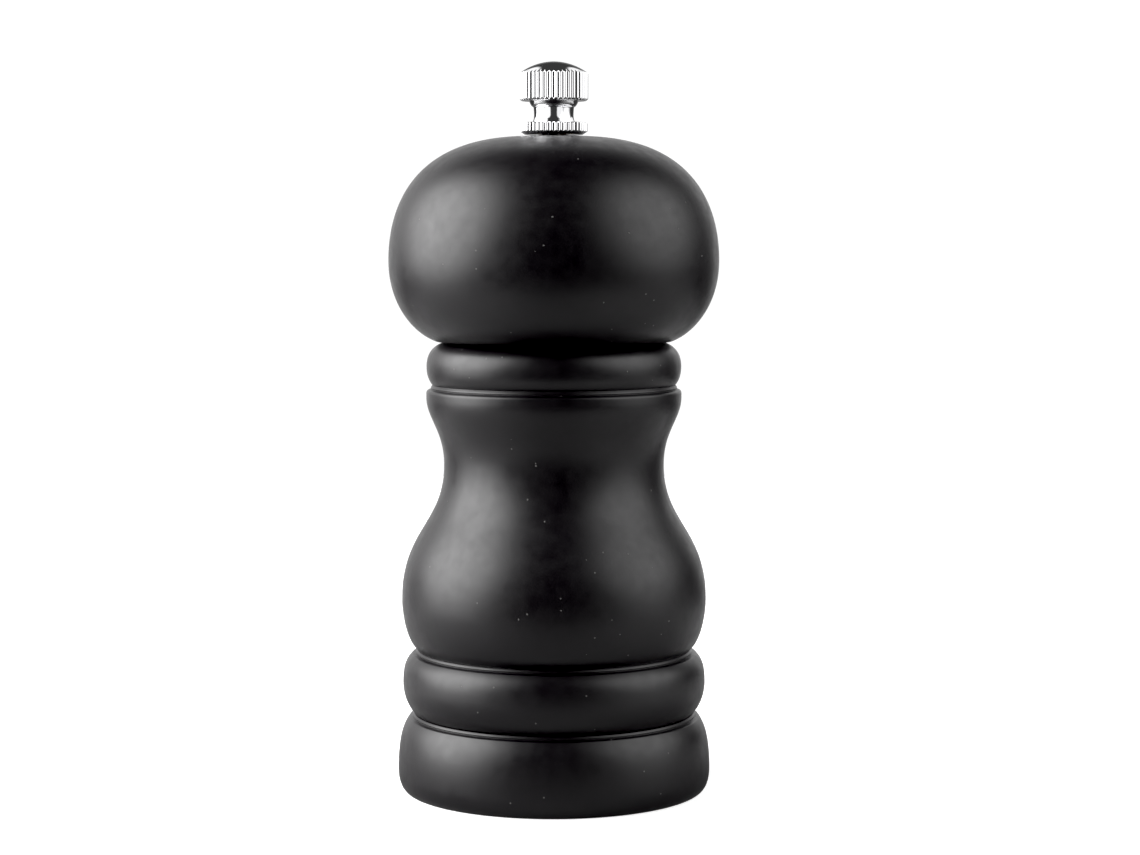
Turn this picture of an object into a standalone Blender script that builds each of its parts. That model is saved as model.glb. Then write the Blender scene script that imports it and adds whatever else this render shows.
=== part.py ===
"""Table pepper mill: a turned wooden body and head around a steel screw-adjusted grinding mechanism.

The model stands on Z = 0 with its axis on +Z. All driving dimensions are in millimetres and become
metres in `metres`. Every function that makes a solid returns one closed object.
"""

import math

import bmesh
import bpy
from mathutils import Matrix, Vector

# ---- driving dimensions, in millimetres ---------------------------------------------------------

GAP = 0.3                       # air kept between neighbouring pieces
TURNED_STEPS = 40               # facets round a large turned piece
SMALL_STEPS = 24                # facets round washers and the drive plate
SCREW_STEPS = 12                # facets round a small screw

# body, outside
BODY_HEIGHT = 80.2
BASE_RADIUS = 26.4              # flat ring that the mill stands on
FOOT_RADIUS = 28.0
FOOT_LEVEL = 3.8                # height of the foot's widest place
LOW_GROOVE = (25.3, 14.7)       # radius and height of each turned groove
MIDDLE_BEAD = (27.1, 19.6)
HIGH_GROOVE = (24.5, 25.7)
BULGE = (27.25, 34.4)
WAIST = (19.65, 58.5)
SHOULDER = (22.85, 70.6)
NECK_GROOVE = (21.9, 73.0)
COLLAR_BEAD = (22.75, 76.1)
RIM_RADIUS = 20.0               # top edge under the head

# body, inside
RECESS_RADIUS = 20.5            # open hollow under the grinder
RECESS_DEPTH = 10.6
BURR_POCKET_RADIUS = 15.2
BURR_POCKET_TOP = 20.8
CHAMBER_RADIUS = 14.0           # peppercorn chamber, open at the top
CHAMBER_CHAMFER = 0.8

# head
HEAD_BOTTOM = BODY_HEIGHT + GAP
HEAD_LIP_RADIUS = 21.0
HEAD_WIDEST = (29.4, 94.8)
HEAD_TOP = 116.8
HEAD_FLAT_RADIUS = 6.3          # flat that the nut sits on
HEAD_BORE_RADIUS = 4.2
SPIGOT_RADIUS = CHAMBER_RADIUS - 0.4
SPIGOT_BOTTOM = 71.9

# drive rod
ROD_SIDE = 5.0                  # square part
ROD_BOTTOM = 2.3
ROD_SQUARE_BOTTOM = 11.0
ROD_SQUARE_TOP = 110.0
ROD_TOP = 126.8
PIVOT_RADIUS = 2.0
CLIP_GROOVE_RADIUS = 1.5
THREAD_RADIUS = 2.4
SQUARE_HOLE_SIDE = ROD_SIDE + 2 * GAP

# grinder
BURR_STEPS = 48                 # facets round a burr, two to a tooth
OUTER_BURR_RADIUS = 14.9
OUTER_BURR_TOP = BURR_POCKET_TOP - GAP
OUTER_BURR_BOTTOM = 10.6
TOOTH_DEPTH = 0.7
TOOTH_TWIST = math.radians(2.4)  # turn of the teeth for each millimetre of height
INNER_BURR_TOP = 21.5
INNER_BURR_BOTTOM = 10.8
INNER_BURR_RADIUS = 11.2

RETAINER_THICKNESS = 1.0
RETAINER_TOP = RECESS_DEPTH - GAP
RETAINER_RADIUS = RECESS_RADIUS - 0.4
RETAINER_HOLE_RADIUS = 12.4
SCREW_CIRCLE_RADIUS = 17.9      # the four screws round the grinder
SCREW_HOLE_RADIUS = 1.4

BAR_WIDTH = 9.0                 # crossbar
BAR_THICKNESS = 1.2
BAR_END_TOP = RETAINER_TOP - RETAINER_THICKNESS - GAP
BAR_MIDDLE_TOP = 3.7
BAR_MIDDLE_HALF = 8.5
BAR_SHOULDER_HALF = 13.6
BAR_HALF_LENGTH = 20.0
BAR_HOLE_RADIUS = PIVOT_RADIUS + 0.4

WASHER_THICKNESS = 0.6
WASHER_RADIUS = 6.2
WASHER_HOLE_RADIUS = PIVOT_RADIUS + 0.35
BURR_WASHER_TOP = INNER_BURR_BOTTOM - GAP
SPRING_SEAT_BOTTOM = BAR_MIDDLE_TOP + GAP

CLIP_THICKNESS = 0.6
CLIP_RADIUS = 4.0
CLIP_HOLE_RADIUS = CLIP_GROOVE_RADIUS + GAP
CLIP_TOP = BURR_WASHER_TOP - WASHER_THICKNESS - GAP
CLIP_OPENING = math.radians(70)

SPRING_WIRE = 0.8
SPRING_RADIUS = 5.1             # coil axis to wire centre
SPRING_BOTTOM = SPRING_SEAT_BOTTOM + WASHER_THICKNESS + GAP
SPRING_TOP = BURR_WASHER_TOP - WASHER_THICKNESS - GAP
SPRING_END_TURNS = 0.75         # nearly flat turns at each end
SPRING_END_PITCH = 0.95
SPRING_OPEN_TURNS = 1.5
SPRING_POINTS_PER_TURN = 18

# drive plate under the head
PLATE_RADIUS = 12.8
PLATE_THICKNESS = 1.0
PLATE_TOP = SPIGOT_BOTTOM - GAP
PLATE_SCREW_COUNT = 3
PLATE_SCREW_CIRCLE_RADIUS = 9.0

# adjusting nut
NUT_BOTTOM = HEAD_TOP + GAP
NUT_TOP = 130.0                 # overall height of the mill
NUT_TEETH = 44
NUT_TOOTH_DEPTH = 0.28
NUT_BORE_RADIUS = THREAD_RADIUS + 0.35
NUT_BORE_TOP = 127.3
COLLAR_RADIUS = 6.03
COLLAR_TOP = 119.25
NECK_RADIUS = 3.7
KNOB_RADIUS = 6.12
KNOB_BOTTOM = 123.05
KNOB_TOP = 128.15
DOME_TIP_RADIUS = 0.5           # small flat at the very top of the dome

# screws
SCREW_RADIUS = 1.1
SCREW_HEAD_RADIUS = 2.2
SCREW_HEAD_HEIGHT = 1.2
GRINDER_SCREW_TIP = 17.0
PLATE_SCREW_TIP = 78.0
PILOT_CLEARANCE = 0.4           # pilot hole past the screw's tip


# ---- scene and material helpers -----------------------------------------------------------------

def clear_scene():
    for thing in list(bpy.data.objects):
        bpy.data.objects.remove(thing, do_unlink=True)


def metres(length):
    return length * 0.001


def make_material(name, colour, roughness, metallic):
    material = bpy.data.materials.new(name)
    material.use_nodes = True
    shader = material.node_tree.nodes["Principled BSDF"]
    shader.inputs["Base Color"].default_value = (*colour, 1.0)
    shader.inputs["Roughness"].default_value = roughness
    shader.inputs["Metallic"].default_value = metallic
    return material


FINISHES = {                    # colour, roughness, metallic
    "lacquered_wood": ((0.012, 0.012, 0.013), 0.42, 0.0),
    "chrome": ((0.80, 0.80, 0.81), 0.08, 1.0),
    "burr_steel": ((0.26, 0.26, 0.27), 0.45, 1.0),
    "zinc_steel": ((0.58, 0.58, 0.57), 0.35, 1.0),
    "spring_steel": ((0.42, 0.41, 0.40), 0.28, 1.0),
    "aluminium": ((0.74, 0.75, 0.76), 0.33, 1.0),
}


def finish_object(name, shape, finish):
    """Give a bmesh in millimetres its object, its material and its smooth shading."""
    bmesh.ops.scale(shape, vec=(0.001, 0.001, 0.001), verts=shape.verts)
    bmesh.ops.recalc_face_normals(shape, faces=shape.faces)
    mesh = bpy.data.meshes.new(name)
    shape.to_mesh(mesh)
    shape.free()
    mesh.shade_smooth()
    mesh.set_sharp_from_angle(angle=math.radians(35))
    mesh.materials.append(make_material(name + "_material", *FINISHES[finish]))
    thing = bpy.data.objects.new(name, mesh)
    bpy.context.scene.collection.objects.link(thing)
    return thing


def cut_holes(thing, holes, bottom, top):
    """Cut upright round holes, each (x, y, radius), through a piece between two heights."""
    shape = bmesh.new()
    for x, y, radius in holes:
        place = Matrix.Translation((metres(x), metres(y), metres((bottom + top) / 2)))
        bmesh.ops.create_cone(shape, cap_ends=True, segments=SCREW_STEPS, radius1=metres(radius),
                              radius2=metres(radius), depth=metres(top - bottom), matrix=place)
    mesh = bpy.data.meshes.new(thing.name + "_hole_cutter")
    shape.to_mesh(mesh)
    shape.free()
    cutter = bpy.data.objects.new(mesh.name, mesh)
    bpy.context.scene.collection.objects.link(cutter)
    cutter.hide_render = True
    cutter.display_type = "WIRE"
    cut = thing.modifiers.new("holes", "BOOLEAN")
    cut.operation = "DIFFERENCE"
    cut.solver = "EXACT"
    cut.object = cutter


# ---- outlines -----------------------------------------------------------------------------------

def curve(start, leave, arrive, end, steps):
    """Points along one cubic curve, without its first point.

    `leave` and `arrive` are the pulls at its ends, as (radius, height) steps from start and end.
    """
    a = Vector(start)
    d = Vector(end)
    b = a + Vector(leave)
    c = d + Vector(arrive)
    points = []
    for step in range(1, steps + 1):
        t = step / steps
        s = 1 - t
        points.append(tuple(s**3 * a + 3 * s * s * t * b + 3 * s * t * t * c + t**3 * d))
    return points


def body_outline():
    """The body's closed section: up the turned outside, then down the stepped bore."""
    outline = [(RECESS_RADIUS, 0.0), (BASE_RADIUS, 0.0)]
    outline += curve(outline[-1], (0.4, 0.0), (0.0, -3.0), (FOOT_RADIUS, FOOT_LEVEL), 4)
    outline += curve(outline[-1], (0.0, 9.0), (-0.5, -0.5), LOW_GROOVE, 6)
    outline += curve(outline[-1], (1.5, 1.9), (0.0, -1.6), MIDDLE_BEAD, 4)
    outline += curve(outline[-1], (0.0, 5.6), (-0.7, 0.2), HIGH_GROOVE, 5)
    outline += curve(outline[-1], (1.9, 1.6), (0.0, -2.8), BULGE, 4)
    outline += curve(outline[-1], (0.0, 12.4), (0.0, -10.6), WAIST, 9)
    outline += curve(outline[-1], (0.0, 6.2), (0.0, -3.9), SHOULDER, 6)
    outline += curve(outline[-1], (0.0, 1.5), (-0.1, -0.9), NECK_GROOVE, 3)
    outline += curve(outline[-1], (0.2, 0.6), (0.0, -1.7), COLLAR_BEAD, 3)
    outline += curve(outline[-1], (0.0, 2.2), (1.6, -0.6), (RIM_RADIUS, BODY_HEIGHT), 4)
    outline += [
        (CHAMBER_RADIUS + CHAMBER_CHAMFER, BODY_HEIGHT),
        (CHAMBER_RADIUS, BODY_HEIGHT - CHAMBER_CHAMFER),
        (CHAMBER_RADIUS, BURR_POCKET_TOP),
        (BURR_POCKET_RADIUS, BURR_POCKET_TOP),
        (BURR_POCKET_RADIUS, RECESS_DEPTH),
        (RECESS_RADIUS, RECESS_DEPTH),
    ]
    return outline


def head_outline():
    """The head's closed section: round the ball from its lip, then down the bore and the spigot."""
    outline = [(SPIGOT_RADIUS, HEAD_BOTTOM), (HEAD_LIP_RADIUS, HEAD_BOTTOM)]
    outline += curve(outline[-1], (4.3, 1.6), (0.0, -7.5), HEAD_WIDEST, 8)
    outline += curve(outline[-1], (0.0, 10.2), (18.2, -0.5), (HEAD_FLAT_RADIUS, HEAD_TOP), 11)
    outline += [
        (HEAD_BORE_RADIUS, HEAD_TOP),
        (HEAD_BORE_RADIUS, SPIGOT_BOTTOM),
        (SPIGOT_RADIUS - 0.6, SPIGOT_BOTTOM),
        (SPIGOT_RADIUS, SPIGOT_BOTTOM + 0.6),
    ]
    return outline


def screw_outline(head_bottom, tip):
    """A round-headed wood screw standing on its head, from the axis round to the axis."""
    head_top = head_bottom + SCREW_HEAD_HEIGHT
    outline = [(0.0, head_bottom)]
    outline += curve(outline[-1], (1.3, 0.0), (0.0, -0.7), (SCREW_HEAD_RADIUS, head_top), 3)
    outline += [
        (SCREW_RADIUS, head_top),
        (SCREW_RADIUS, tip - 2.0),
        (0.0, tip),
    ]
    return outline


# ---- solids -------------------------------------------------------------------------------------

def turned(name, outline, steps, finish, closed=True, opening=0.0):
    """Spin a section about Z. A closed section makes a ring, an open one starts and ends on the axis.

    `opening` leaves that angle out of the turn and caps both ends, as in a snap ring.
    """
    shape = bmesh.new()
    corners = [shape.verts.new((radius, 0.0, height)) for radius, height in outline]
    edges = [shape.edges.new(pair) for pair in zip(corners, corners[1:])]
    if closed:
        edges.append(shape.edges.new((corners[-1], corners[0])))
    sweep = math.tau - opening
    profile = corners + edges
    if opening:
        profile.append(shape.faces.new(corners))
    bmesh.ops.rotate(shape, verts=corners, cent=(0, 0, 0),
                     matrix=Matrix.Rotation(opening / 2, 3, "Z"))
    bmesh.ops.spin(shape, geom=profile, cent=(0, 0, 0), axis=(0, 0, 1), angle=sweep,
                   steps=steps, use_merge=not opening)
    bmesh.ops.remove_doubles(shape, verts=shape.verts, dist=0.001)
    return finish_object(name, shape, finish)


def round_row(radius, height, steps, depth=0.0, turn=0.0):
    """One ring of points, every second one set in by `depth`, the whole ring turned by `turn`."""
    row = []
    for step in range(steps):
        angle = math.tau * step / steps + turn
        reach = radius - (depth if step % 2 else 0.0)
        row.append((reach * math.cos(angle), reach * math.sin(angle), height))
    return row


def square_row(side, height, steps):
    """One ring of points on a square, with a point on each corner."""
    row = []
    for step in range(steps):
        angle = math.tau * step / steps
        reach = side / 2 / max(abs(math.cos(angle)), abs(math.sin(angle)))
        row.append((reach * math.cos(angle), reach * math.sin(angle), height))
    return row


def lofted(name, rows, finish, ring=False):
    """Skin rings of points. A ring piece joins its last row to its first, any other is capped."""
    shape = bmesh.new()
    loops = [[shape.verts.new(point) for point in row] for row in rows]
    pairs = list(zip(loops, loops[1:]))
    if ring:
        pairs.append((loops[-1], loops[0]))
    for lower, upper in pairs:
        for step in range(len(lower)):
            after = (step + 1) % len(lower)
            shape.faces.new((lower[step], lower[after], upper[after], upper[step]))
    if not ring:
        shape.faces.new(loops[0])
        shape.faces.new(loops[-1])
    return finish_object(name, shape, finish)


def washer(name, bottom, thickness, radius, hole_radius, finish, opening=0.0):
    top = bottom + thickness
    outline = [(hole_radius, bottom), (radius, bottom), (radius, top), (hole_radius, top)]
    return turned(name, outline, SMALL_STEPS, finish, opening=opening)


# ---- wooden pieces ------------------------------------------------------------------------------

def grinder_screw_places():
    """Two crossbar screws on X, then two retainer screws on Y."""
    reach = SCREW_CIRCLE_RADIUS
    return [(-reach, 0.0), (reach, 0.0), (0.0, -reach), (0.0, reach)]


def plate_screw_places():
    places = []
    for number in range(PLATE_SCREW_COUNT):
        angle = math.tau * number / PLATE_SCREW_COUNT + math.radians(30)
        places.append((PLATE_SCREW_CIRCLE_RADIUS * math.cos(angle),
                       PLATE_SCREW_CIRCLE_RADIUS * math.sin(angle)))
    return places


def build_body():
    body = turned("mill_body", body_outline(), TURNED_STEPS, "lacquered_wood")
    holes = [(x, y, SCREW_HOLE_RADIUS) for x, y in grinder_screw_places()]
    cut_holes(body, holes, RECESS_DEPTH - 1.0, GRINDER_SCREW_TIP + PILOT_CLEARANCE)


def build_head():
    head = turned("head", head_outline(), TURNED_STEPS, "lacquered_wood")
    holes = [(x, y, SCREW_HOLE_RADIUS) for x, y in plate_screw_places()]
    cut_holes(head, holes, SPIGOT_BOTTOM - 1.0, PLATE_SCREW_TIP + PILOT_CLEARANCE)


# ---- grinder ------------------------------------------------------------------------------------

def build_outer_burr():
    """Toothed ring: a funnel above a bore that widens downwards."""
    bore = [                    # radius at the tooth roots, height
        (OUTER_BURR_RADIUS - 0.6, OUTER_BURR_TOP),
        (11.2, 17.6),
        (11.9, 14.0),
        (12.5, OUTER_BURR_BOTTOM),
    ]
    rows = [
        round_row(OUTER_BURR_RADIUS, OUTER_BURR_BOTTOM, BURR_STEPS),
        round_row(OUTER_BURR_RADIUS, OUTER_BURR_TOP, BURR_STEPS),
    ]
    for index, (radius, height) in enumerate(bore):
        depth = TOOTH_DEPTH if index else 0.0
        turn = (height - OUTER_BURR_BOTTOM) * TOOTH_TWIST
        rows.append(round_row(radius, height, BURR_STEPS, depth, turn))
    lofted("outer_burr", rows, "burr_steel", ring=True)


def build_inner_burr():
    """Toothed cone on the square rod, wide end down."""
    cone = [                    # radius at the tooth tips, height
        (INNER_BURR_RADIUS, INNER_BURR_BOTTOM),
        (INNER_BURR_RADIUS, 11.8),
        (10.0, 15.0),
        (8.6, 17.6),
        (5.4, INNER_BURR_TOP),
    ]
    rows = [square_row(SQUARE_HOLE_SIDE, INNER_BURR_BOTTOM, BURR_STEPS)]
    for index, (radius, height) in enumerate(cone):
        depth = TOOTH_DEPTH if index < len(cone) - 1 else 0.3
        turn = -(height - INNER_BURR_BOTTOM) * TOOTH_TWIST
        rows.append(round_row(radius, height, BURR_STEPS, depth, turn))
    rows.append(square_row(SQUARE_HOLE_SIDE, INNER_BURR_TOP, BURR_STEPS))
    lofted("inner_burr", rows, "burr_steel", ring=True)


def build_retainer():
    """Flat steel ring that holds the outer burr up in its pocket."""
    bottom = RETAINER_TOP - RETAINER_THICKNESS
    outline = [
        (RETAINER_HOLE_RADIUS, bottom),
        (RETAINER_RADIUS, bottom),
        (RETAINER_RADIUS, RETAINER_TOP),
        (RETAINER_HOLE_RADIUS, RETAINER_TOP),
    ]
    retainer = turned("burr_retainer", outline, TURNED_STEPS, "zinc_steel")
    holes = [(x, y, SCREW_HOLE_RADIUS) for x, y in grinder_screw_places()]
    cut_holes(retainer, holes, bottom - 1.0, RETAINER_TOP + 1.0)


def build_crossbar():
    """Bent strip across the outlet. Its dropped middle carries the rod's lower end."""
    top_line = [
        (-BAR_HALF_LENGTH, BAR_END_TOP),
        (-BAR_SHOULDER_HALF, BAR_END_TOP),
        (-BAR_MIDDLE_HALF, BAR_MIDDLE_TOP),
        (BAR_MIDDLE_HALF, BAR_MIDDLE_TOP),
        (BAR_SHOULDER_HALF, BAR_END_TOP),
        (BAR_HALF_LENGTH, BAR_END_TOP),
    ]
    slope_shift = 0.5           # keeps the strip's thickness on its slopes
    shifts = [0.0, slope_shift, slope_shift, -slope_shift, -slope_shift, 0.0]
    bottom_line = [(x + shift, z - BAR_THICKNESS) for (x, z), shift in zip(top_line, shifts)]
    shape = bmesh.new()
    side = [shape.verts.new((x, -BAR_WIDTH / 2, z)) for x, z in top_line + bottom_line[::-1]]
    face = shape.faces.new(side)
    grown = bmesh.ops.extrude_face_region(shape, geom=[face])
    far_side = [part for part in grown["geom"] if isinstance(part, bmesh.types.BMVert)]
    bmesh.ops.translate(shape, verts=far_side, vec=(0, BAR_WIDTH, 0))
    corners = [edge for edge in shape.edges
               if all(abs(abs(v.co.x) - BAR_HALF_LENGTH) < 0.01 for v in edge.verts)
               and abs(edge.verts[0].co.y - edge.verts[1].co.y) < 0.01]
    bmesh.ops.bevel(shape, geom=corners, offset=3.0, segments=3, profile=0.5, affect="EDGES")
    crossbar = finish_object("crossbar", shape, "zinc_steel")
    holes = [(x, 0.0, SCREW_HOLE_RADIUS) for x in (-SCREW_CIRCLE_RADIUS, SCREW_CIRCLE_RADIUS)]
    holes.append((0.0, 0.0, BAR_HOLE_RADIUS))
    cut_holes(crossbar, holes, 0.5, BAR_END_TOP + 1.0)


def build_grinder_screws():
    bar_head = BAR_END_TOP - BAR_THICKNESS - GAP - SCREW_HEAD_HEIGHT
    ring_head = RETAINER_TOP - RETAINER_THICKNESS - GAP - SCREW_HEAD_HEIGHT
    names = ["crossbar_screw_1", "crossbar_screw_2", "retainer_screw_1", "retainer_screw_2"]
    heads = [bar_head, bar_head, ring_head, ring_head]
    for name, head_bottom, (x, y) in zip(names, heads, grinder_screw_places()):
        outline = screw_outline(head_bottom, GRINDER_SCREW_TIP)
        screw = turned(name, outline, SCREW_STEPS, "zinc_steel", closed=False)
        screw.location = (metres(x), metres(y), 0.0)


# ---- rod and spring -----------------------------------------------------------------------------

def build_rod():
    steps = 16
    groove_top = CLIP_TOP + GAP
    groove_bottom = CLIP_TOP - CLIP_THICKNESS - GAP
    rows = [
        round_row(PIVOT_RADIUS - 0.3, ROD_BOTTOM, steps),
        round_row(PIVOT_RADIUS, ROD_BOTTOM + 0.3, steps),
        round_row(PIVOT_RADIUS, groove_bottom, steps),
        round_row(CLIP_GROOVE_RADIUS, groove_bottom, steps),
        round_row(CLIP_GROOVE_RADIUS, groove_top, steps),
        round_row(PIVOT_RADIUS, groove_top, steps),
        round_row(PIVOT_RADIUS, ROD_SQUARE_BOTTOM, steps),
        square_row(ROD_SIDE, ROD_SQUARE_BOTTOM, steps),
        square_row(ROD_SIDE, ROD_SQUARE_TOP, steps),
        round_row(THREAD_RADIUS, ROD_SQUARE_TOP, steps),
        round_row(THREAD_RADIUS, ROD_TOP - 0.5, steps),
        round_row(THREAD_RADIUS - 0.5, ROD_TOP, steps),
    ]
    lofted("drive_rod", rows, "aluminium")


def spring_points():
    """Centre line of a compression spring with one flattened stretch at each end."""
    turns = SPRING_OPEN_TURNS + 2 * SPRING_END_TURNS
    low = SPRING_BOTTOM + SPRING_WIRE / 2
    high = SPRING_TOP - SPRING_WIRE / 2
    end_rise = SPRING_END_TURNS * SPRING_END_PITCH
    open_pitch = (high - low - 2 * end_rise) / SPRING_OPEN_TURNS
    points = []
    for step in range(round(turns * SPRING_POINTS_PER_TURN) + 1):
        turned_by = step / SPRING_POINTS_PER_TURN
        in_first_end = min(turned_by, SPRING_END_TURNS)
        in_open = min(max(turned_by - SPRING_END_TURNS, 0.0), SPRING_OPEN_TURNS)
        in_last_end = max(turned_by - SPRING_END_TURNS - SPRING_OPEN_TURNS, 0.0)
        height = low + (in_first_end + in_last_end) * SPRING_END_PITCH + in_open * open_pitch
        angle = math.tau * turned_by
        points.append((SPRING_RADIUS * math.cos(angle), SPRING_RADIUS * math.sin(angle), height))
    return points


def build_spring():
    wire = bpy.data.curves.new("burr_spring", "CURVE")
    wire.dimensions = "3D"
    wire.bevel_depth = metres(SPRING_WIRE / 2)
    wire.bevel_resolution = 1
    wire.use_fill_caps = True
    points = spring_points()
    path = wire.splines.new("POLY")
    path.points.add(len(points) - 1)
    for place, (x, y, z) in zip(path.points, points):
        place.co = (metres(x), metres(y), metres(z), 1.0)
    wire.materials.append(make_material("burr_spring_material", *FINISHES["spring_steel"]))
    bpy.context.scene.collection.objects.link(bpy.data.objects.new("burr_spring", wire))


def build_washers_and_clip():
    washer("spring_seat", SPRING_SEAT_BOTTOM, WASHER_THICKNESS, WASHER_RADIUS,
           WASHER_HOLE_RADIUS, "zinc_steel")
    washer("burr_washer", BURR_WASHER_TOP - WASHER_THICKNESS, WASHER_THICKNESS, WASHER_RADIUS,
           WASHER_HOLE_RADIUS, "zinc_steel")
    washer("rod_clip", CLIP_TOP - CLIP_THICKNESS, CLIP_THICKNESS, CLIP_RADIUS,
           CLIP_HOLE_RADIUS, "spring_steel", opening=CLIP_OPENING)


# ---- head fittings ------------------------------------------------------------------------------

def build_drive_plate():
    """Steel disc whose square hole turns the rod."""
    bottom = PLATE_TOP - PLATE_THICKNESS
    rows = [
        round_row(PLATE_RADIUS, bottom, SMALL_STEPS),
        round_row(PLATE_RADIUS, PLATE_TOP, SMALL_STEPS),
        square_row(SQUARE_HOLE_SIDE, PLATE_TOP, SMALL_STEPS),
        square_row(SQUARE_HOLE_SIDE, bottom, SMALL_STEPS),
    ]
    plate = lofted("drive_plate", rows, "zinc_steel", ring=True)
    holes = [(x, y, SCREW_HOLE_RADIUS) for x, y in plate_screw_places()]
    cut_holes(plate, holes, bottom - 1.0, PLATE_TOP + 1.0)


def build_plate_screws():
    head_bottom = PLATE_TOP - PLATE_THICKNESS - GAP - SCREW_HEAD_HEIGHT
    for number, (x, y) in enumerate(plate_screw_places(), start=1):
        outline = screw_outline(head_bottom, PLATE_SCREW_TIP)
        screw = turned(f"drive_plate_screw_{number}", outline, SCREW_STEPS, "zinc_steel", closed=False)
        screw.location = (metres(x), metres(y), 0.0)


def build_nut():
    """Domed nut: knurled knob and knurled collar on one waisted neck, with a blind threaded bore."""
    steps = 2 * NUT_TEETH

    def plain(radius, height):
        return round_row(radius, height, steps)

    def toothed(radius, height):
        return round_row(radius, height, steps, NUT_TOOTH_DEPTH)

    rows = [
        plain(NUT_BORE_RADIUS, NUT_BORE_TOP),
        plain(NUT_BORE_RADIUS, NUT_BOTTOM),
        plain(COLLAR_RADIUS - 0.45, NUT_BOTTOM),
        toothed(COLLAR_RADIUS, NUT_BOTTOM + 0.4),
        toothed(COLLAR_RADIUS, COLLAR_TOP),
        plain(NECK_RADIUS + 0.1, COLLAR_TOP),
    ]
    neck = curve((NECK_RADIUS + 0.1, COLLAR_TOP), (-0.1, 0.9), (0.0, -1.0), (NECK_RADIUS, 121.7), 3)
    bowl = curve(neck[-1], (0.2, 0.4), (-0.1, -0.4), (NECK_RADIUS + 0.75, KNOB_BOTTOM), 2)
    rows += [plain(radius, height) for radius, height in neck + bowl]
    rows += [toothed(KNOB_RADIUS, KNOB_BOTTOM), toothed(KNOB_RADIUS, KNOB_TOP)]
    dome = [(KNOB_RADIUS - NUT_TOOTH_DEPTH, KNOB_TOP)]
    dome += curve(dome[0], (-1.9, 1.1), (2.0, 0.0), (DOME_TIP_RADIUS, NUT_TOP), 4)
    rows += [plain(radius, height) for radius, height in dome]
    lofted("adjusting_nut", rows, "chrome")


def build_mill():
    clear_scene()
    build_body()
    build_outer_burr()
    build_retainer()
    build_crossbar()
    build_grinder_screws()
    build_washers_and_clip()
    build_spring()
    build_inner_burr()
    build_rod()
    build_head()
    build_drive_plate()
    build_plate_screws()
    build_nut()


build_mill()
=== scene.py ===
"""Turned black pepper mill with a knurled chrome nut, dressed for a plain studio portrait.

The wooden body and head, the nut and every piece of the grinder are modelled here in millimetres
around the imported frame, and each piece rides on the body that it belongs to.
"""

import logging
import math
from collections.abc import Callable, Iterable, Sequence
from dataclasses import dataclass
from enum import Enum

import bmesh
import bpy
import numpy as np
from mathutils import Matrix, Vector


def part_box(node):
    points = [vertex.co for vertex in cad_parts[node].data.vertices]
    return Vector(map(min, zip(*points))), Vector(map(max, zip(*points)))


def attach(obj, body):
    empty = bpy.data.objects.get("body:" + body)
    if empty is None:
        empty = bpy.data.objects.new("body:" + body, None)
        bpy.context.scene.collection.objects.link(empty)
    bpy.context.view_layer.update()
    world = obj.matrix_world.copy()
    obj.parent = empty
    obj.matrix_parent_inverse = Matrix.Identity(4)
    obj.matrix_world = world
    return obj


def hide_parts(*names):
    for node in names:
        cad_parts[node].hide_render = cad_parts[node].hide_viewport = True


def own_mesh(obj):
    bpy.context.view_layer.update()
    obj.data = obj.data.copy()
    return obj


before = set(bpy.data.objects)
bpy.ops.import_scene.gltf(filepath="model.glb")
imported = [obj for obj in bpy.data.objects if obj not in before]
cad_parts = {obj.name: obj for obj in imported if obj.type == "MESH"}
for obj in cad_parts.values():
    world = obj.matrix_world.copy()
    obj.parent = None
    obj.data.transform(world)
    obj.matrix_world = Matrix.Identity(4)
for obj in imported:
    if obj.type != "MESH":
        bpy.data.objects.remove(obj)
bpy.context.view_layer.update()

MM = 0.001
TURN = math.tau
REPORT = logging.getLogger("pepper_mill")

Point = tuple[float, float]     # radius and height, or length and height, in millimetres
Colour = tuple[float, float, float]
Reach = Callable[[np.ndarray, float, float], np.ndarray]    # radius at each angle, of an outline


class Body(str, Enum):
    """Bodies of the frame that a piece can ride on."""

    MILL = "mill_body"
    SPRING = "spring_group"
    SHAFT = "drive_shaft"
    HEAD = "head"
    NUT = "nut"


class Slot(str, Enum):
    """Material slots of the record."""

    WOOD = "black_wood"
    CHROME = "chrome"
    BURR = "burr_steel"
    ZINC = "zinc_steel"
    SPRING = "spring_steel"
    ALUMINIUM = "aluminium"


# ---- shading ------------------------------------------------------------------------------------

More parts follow.
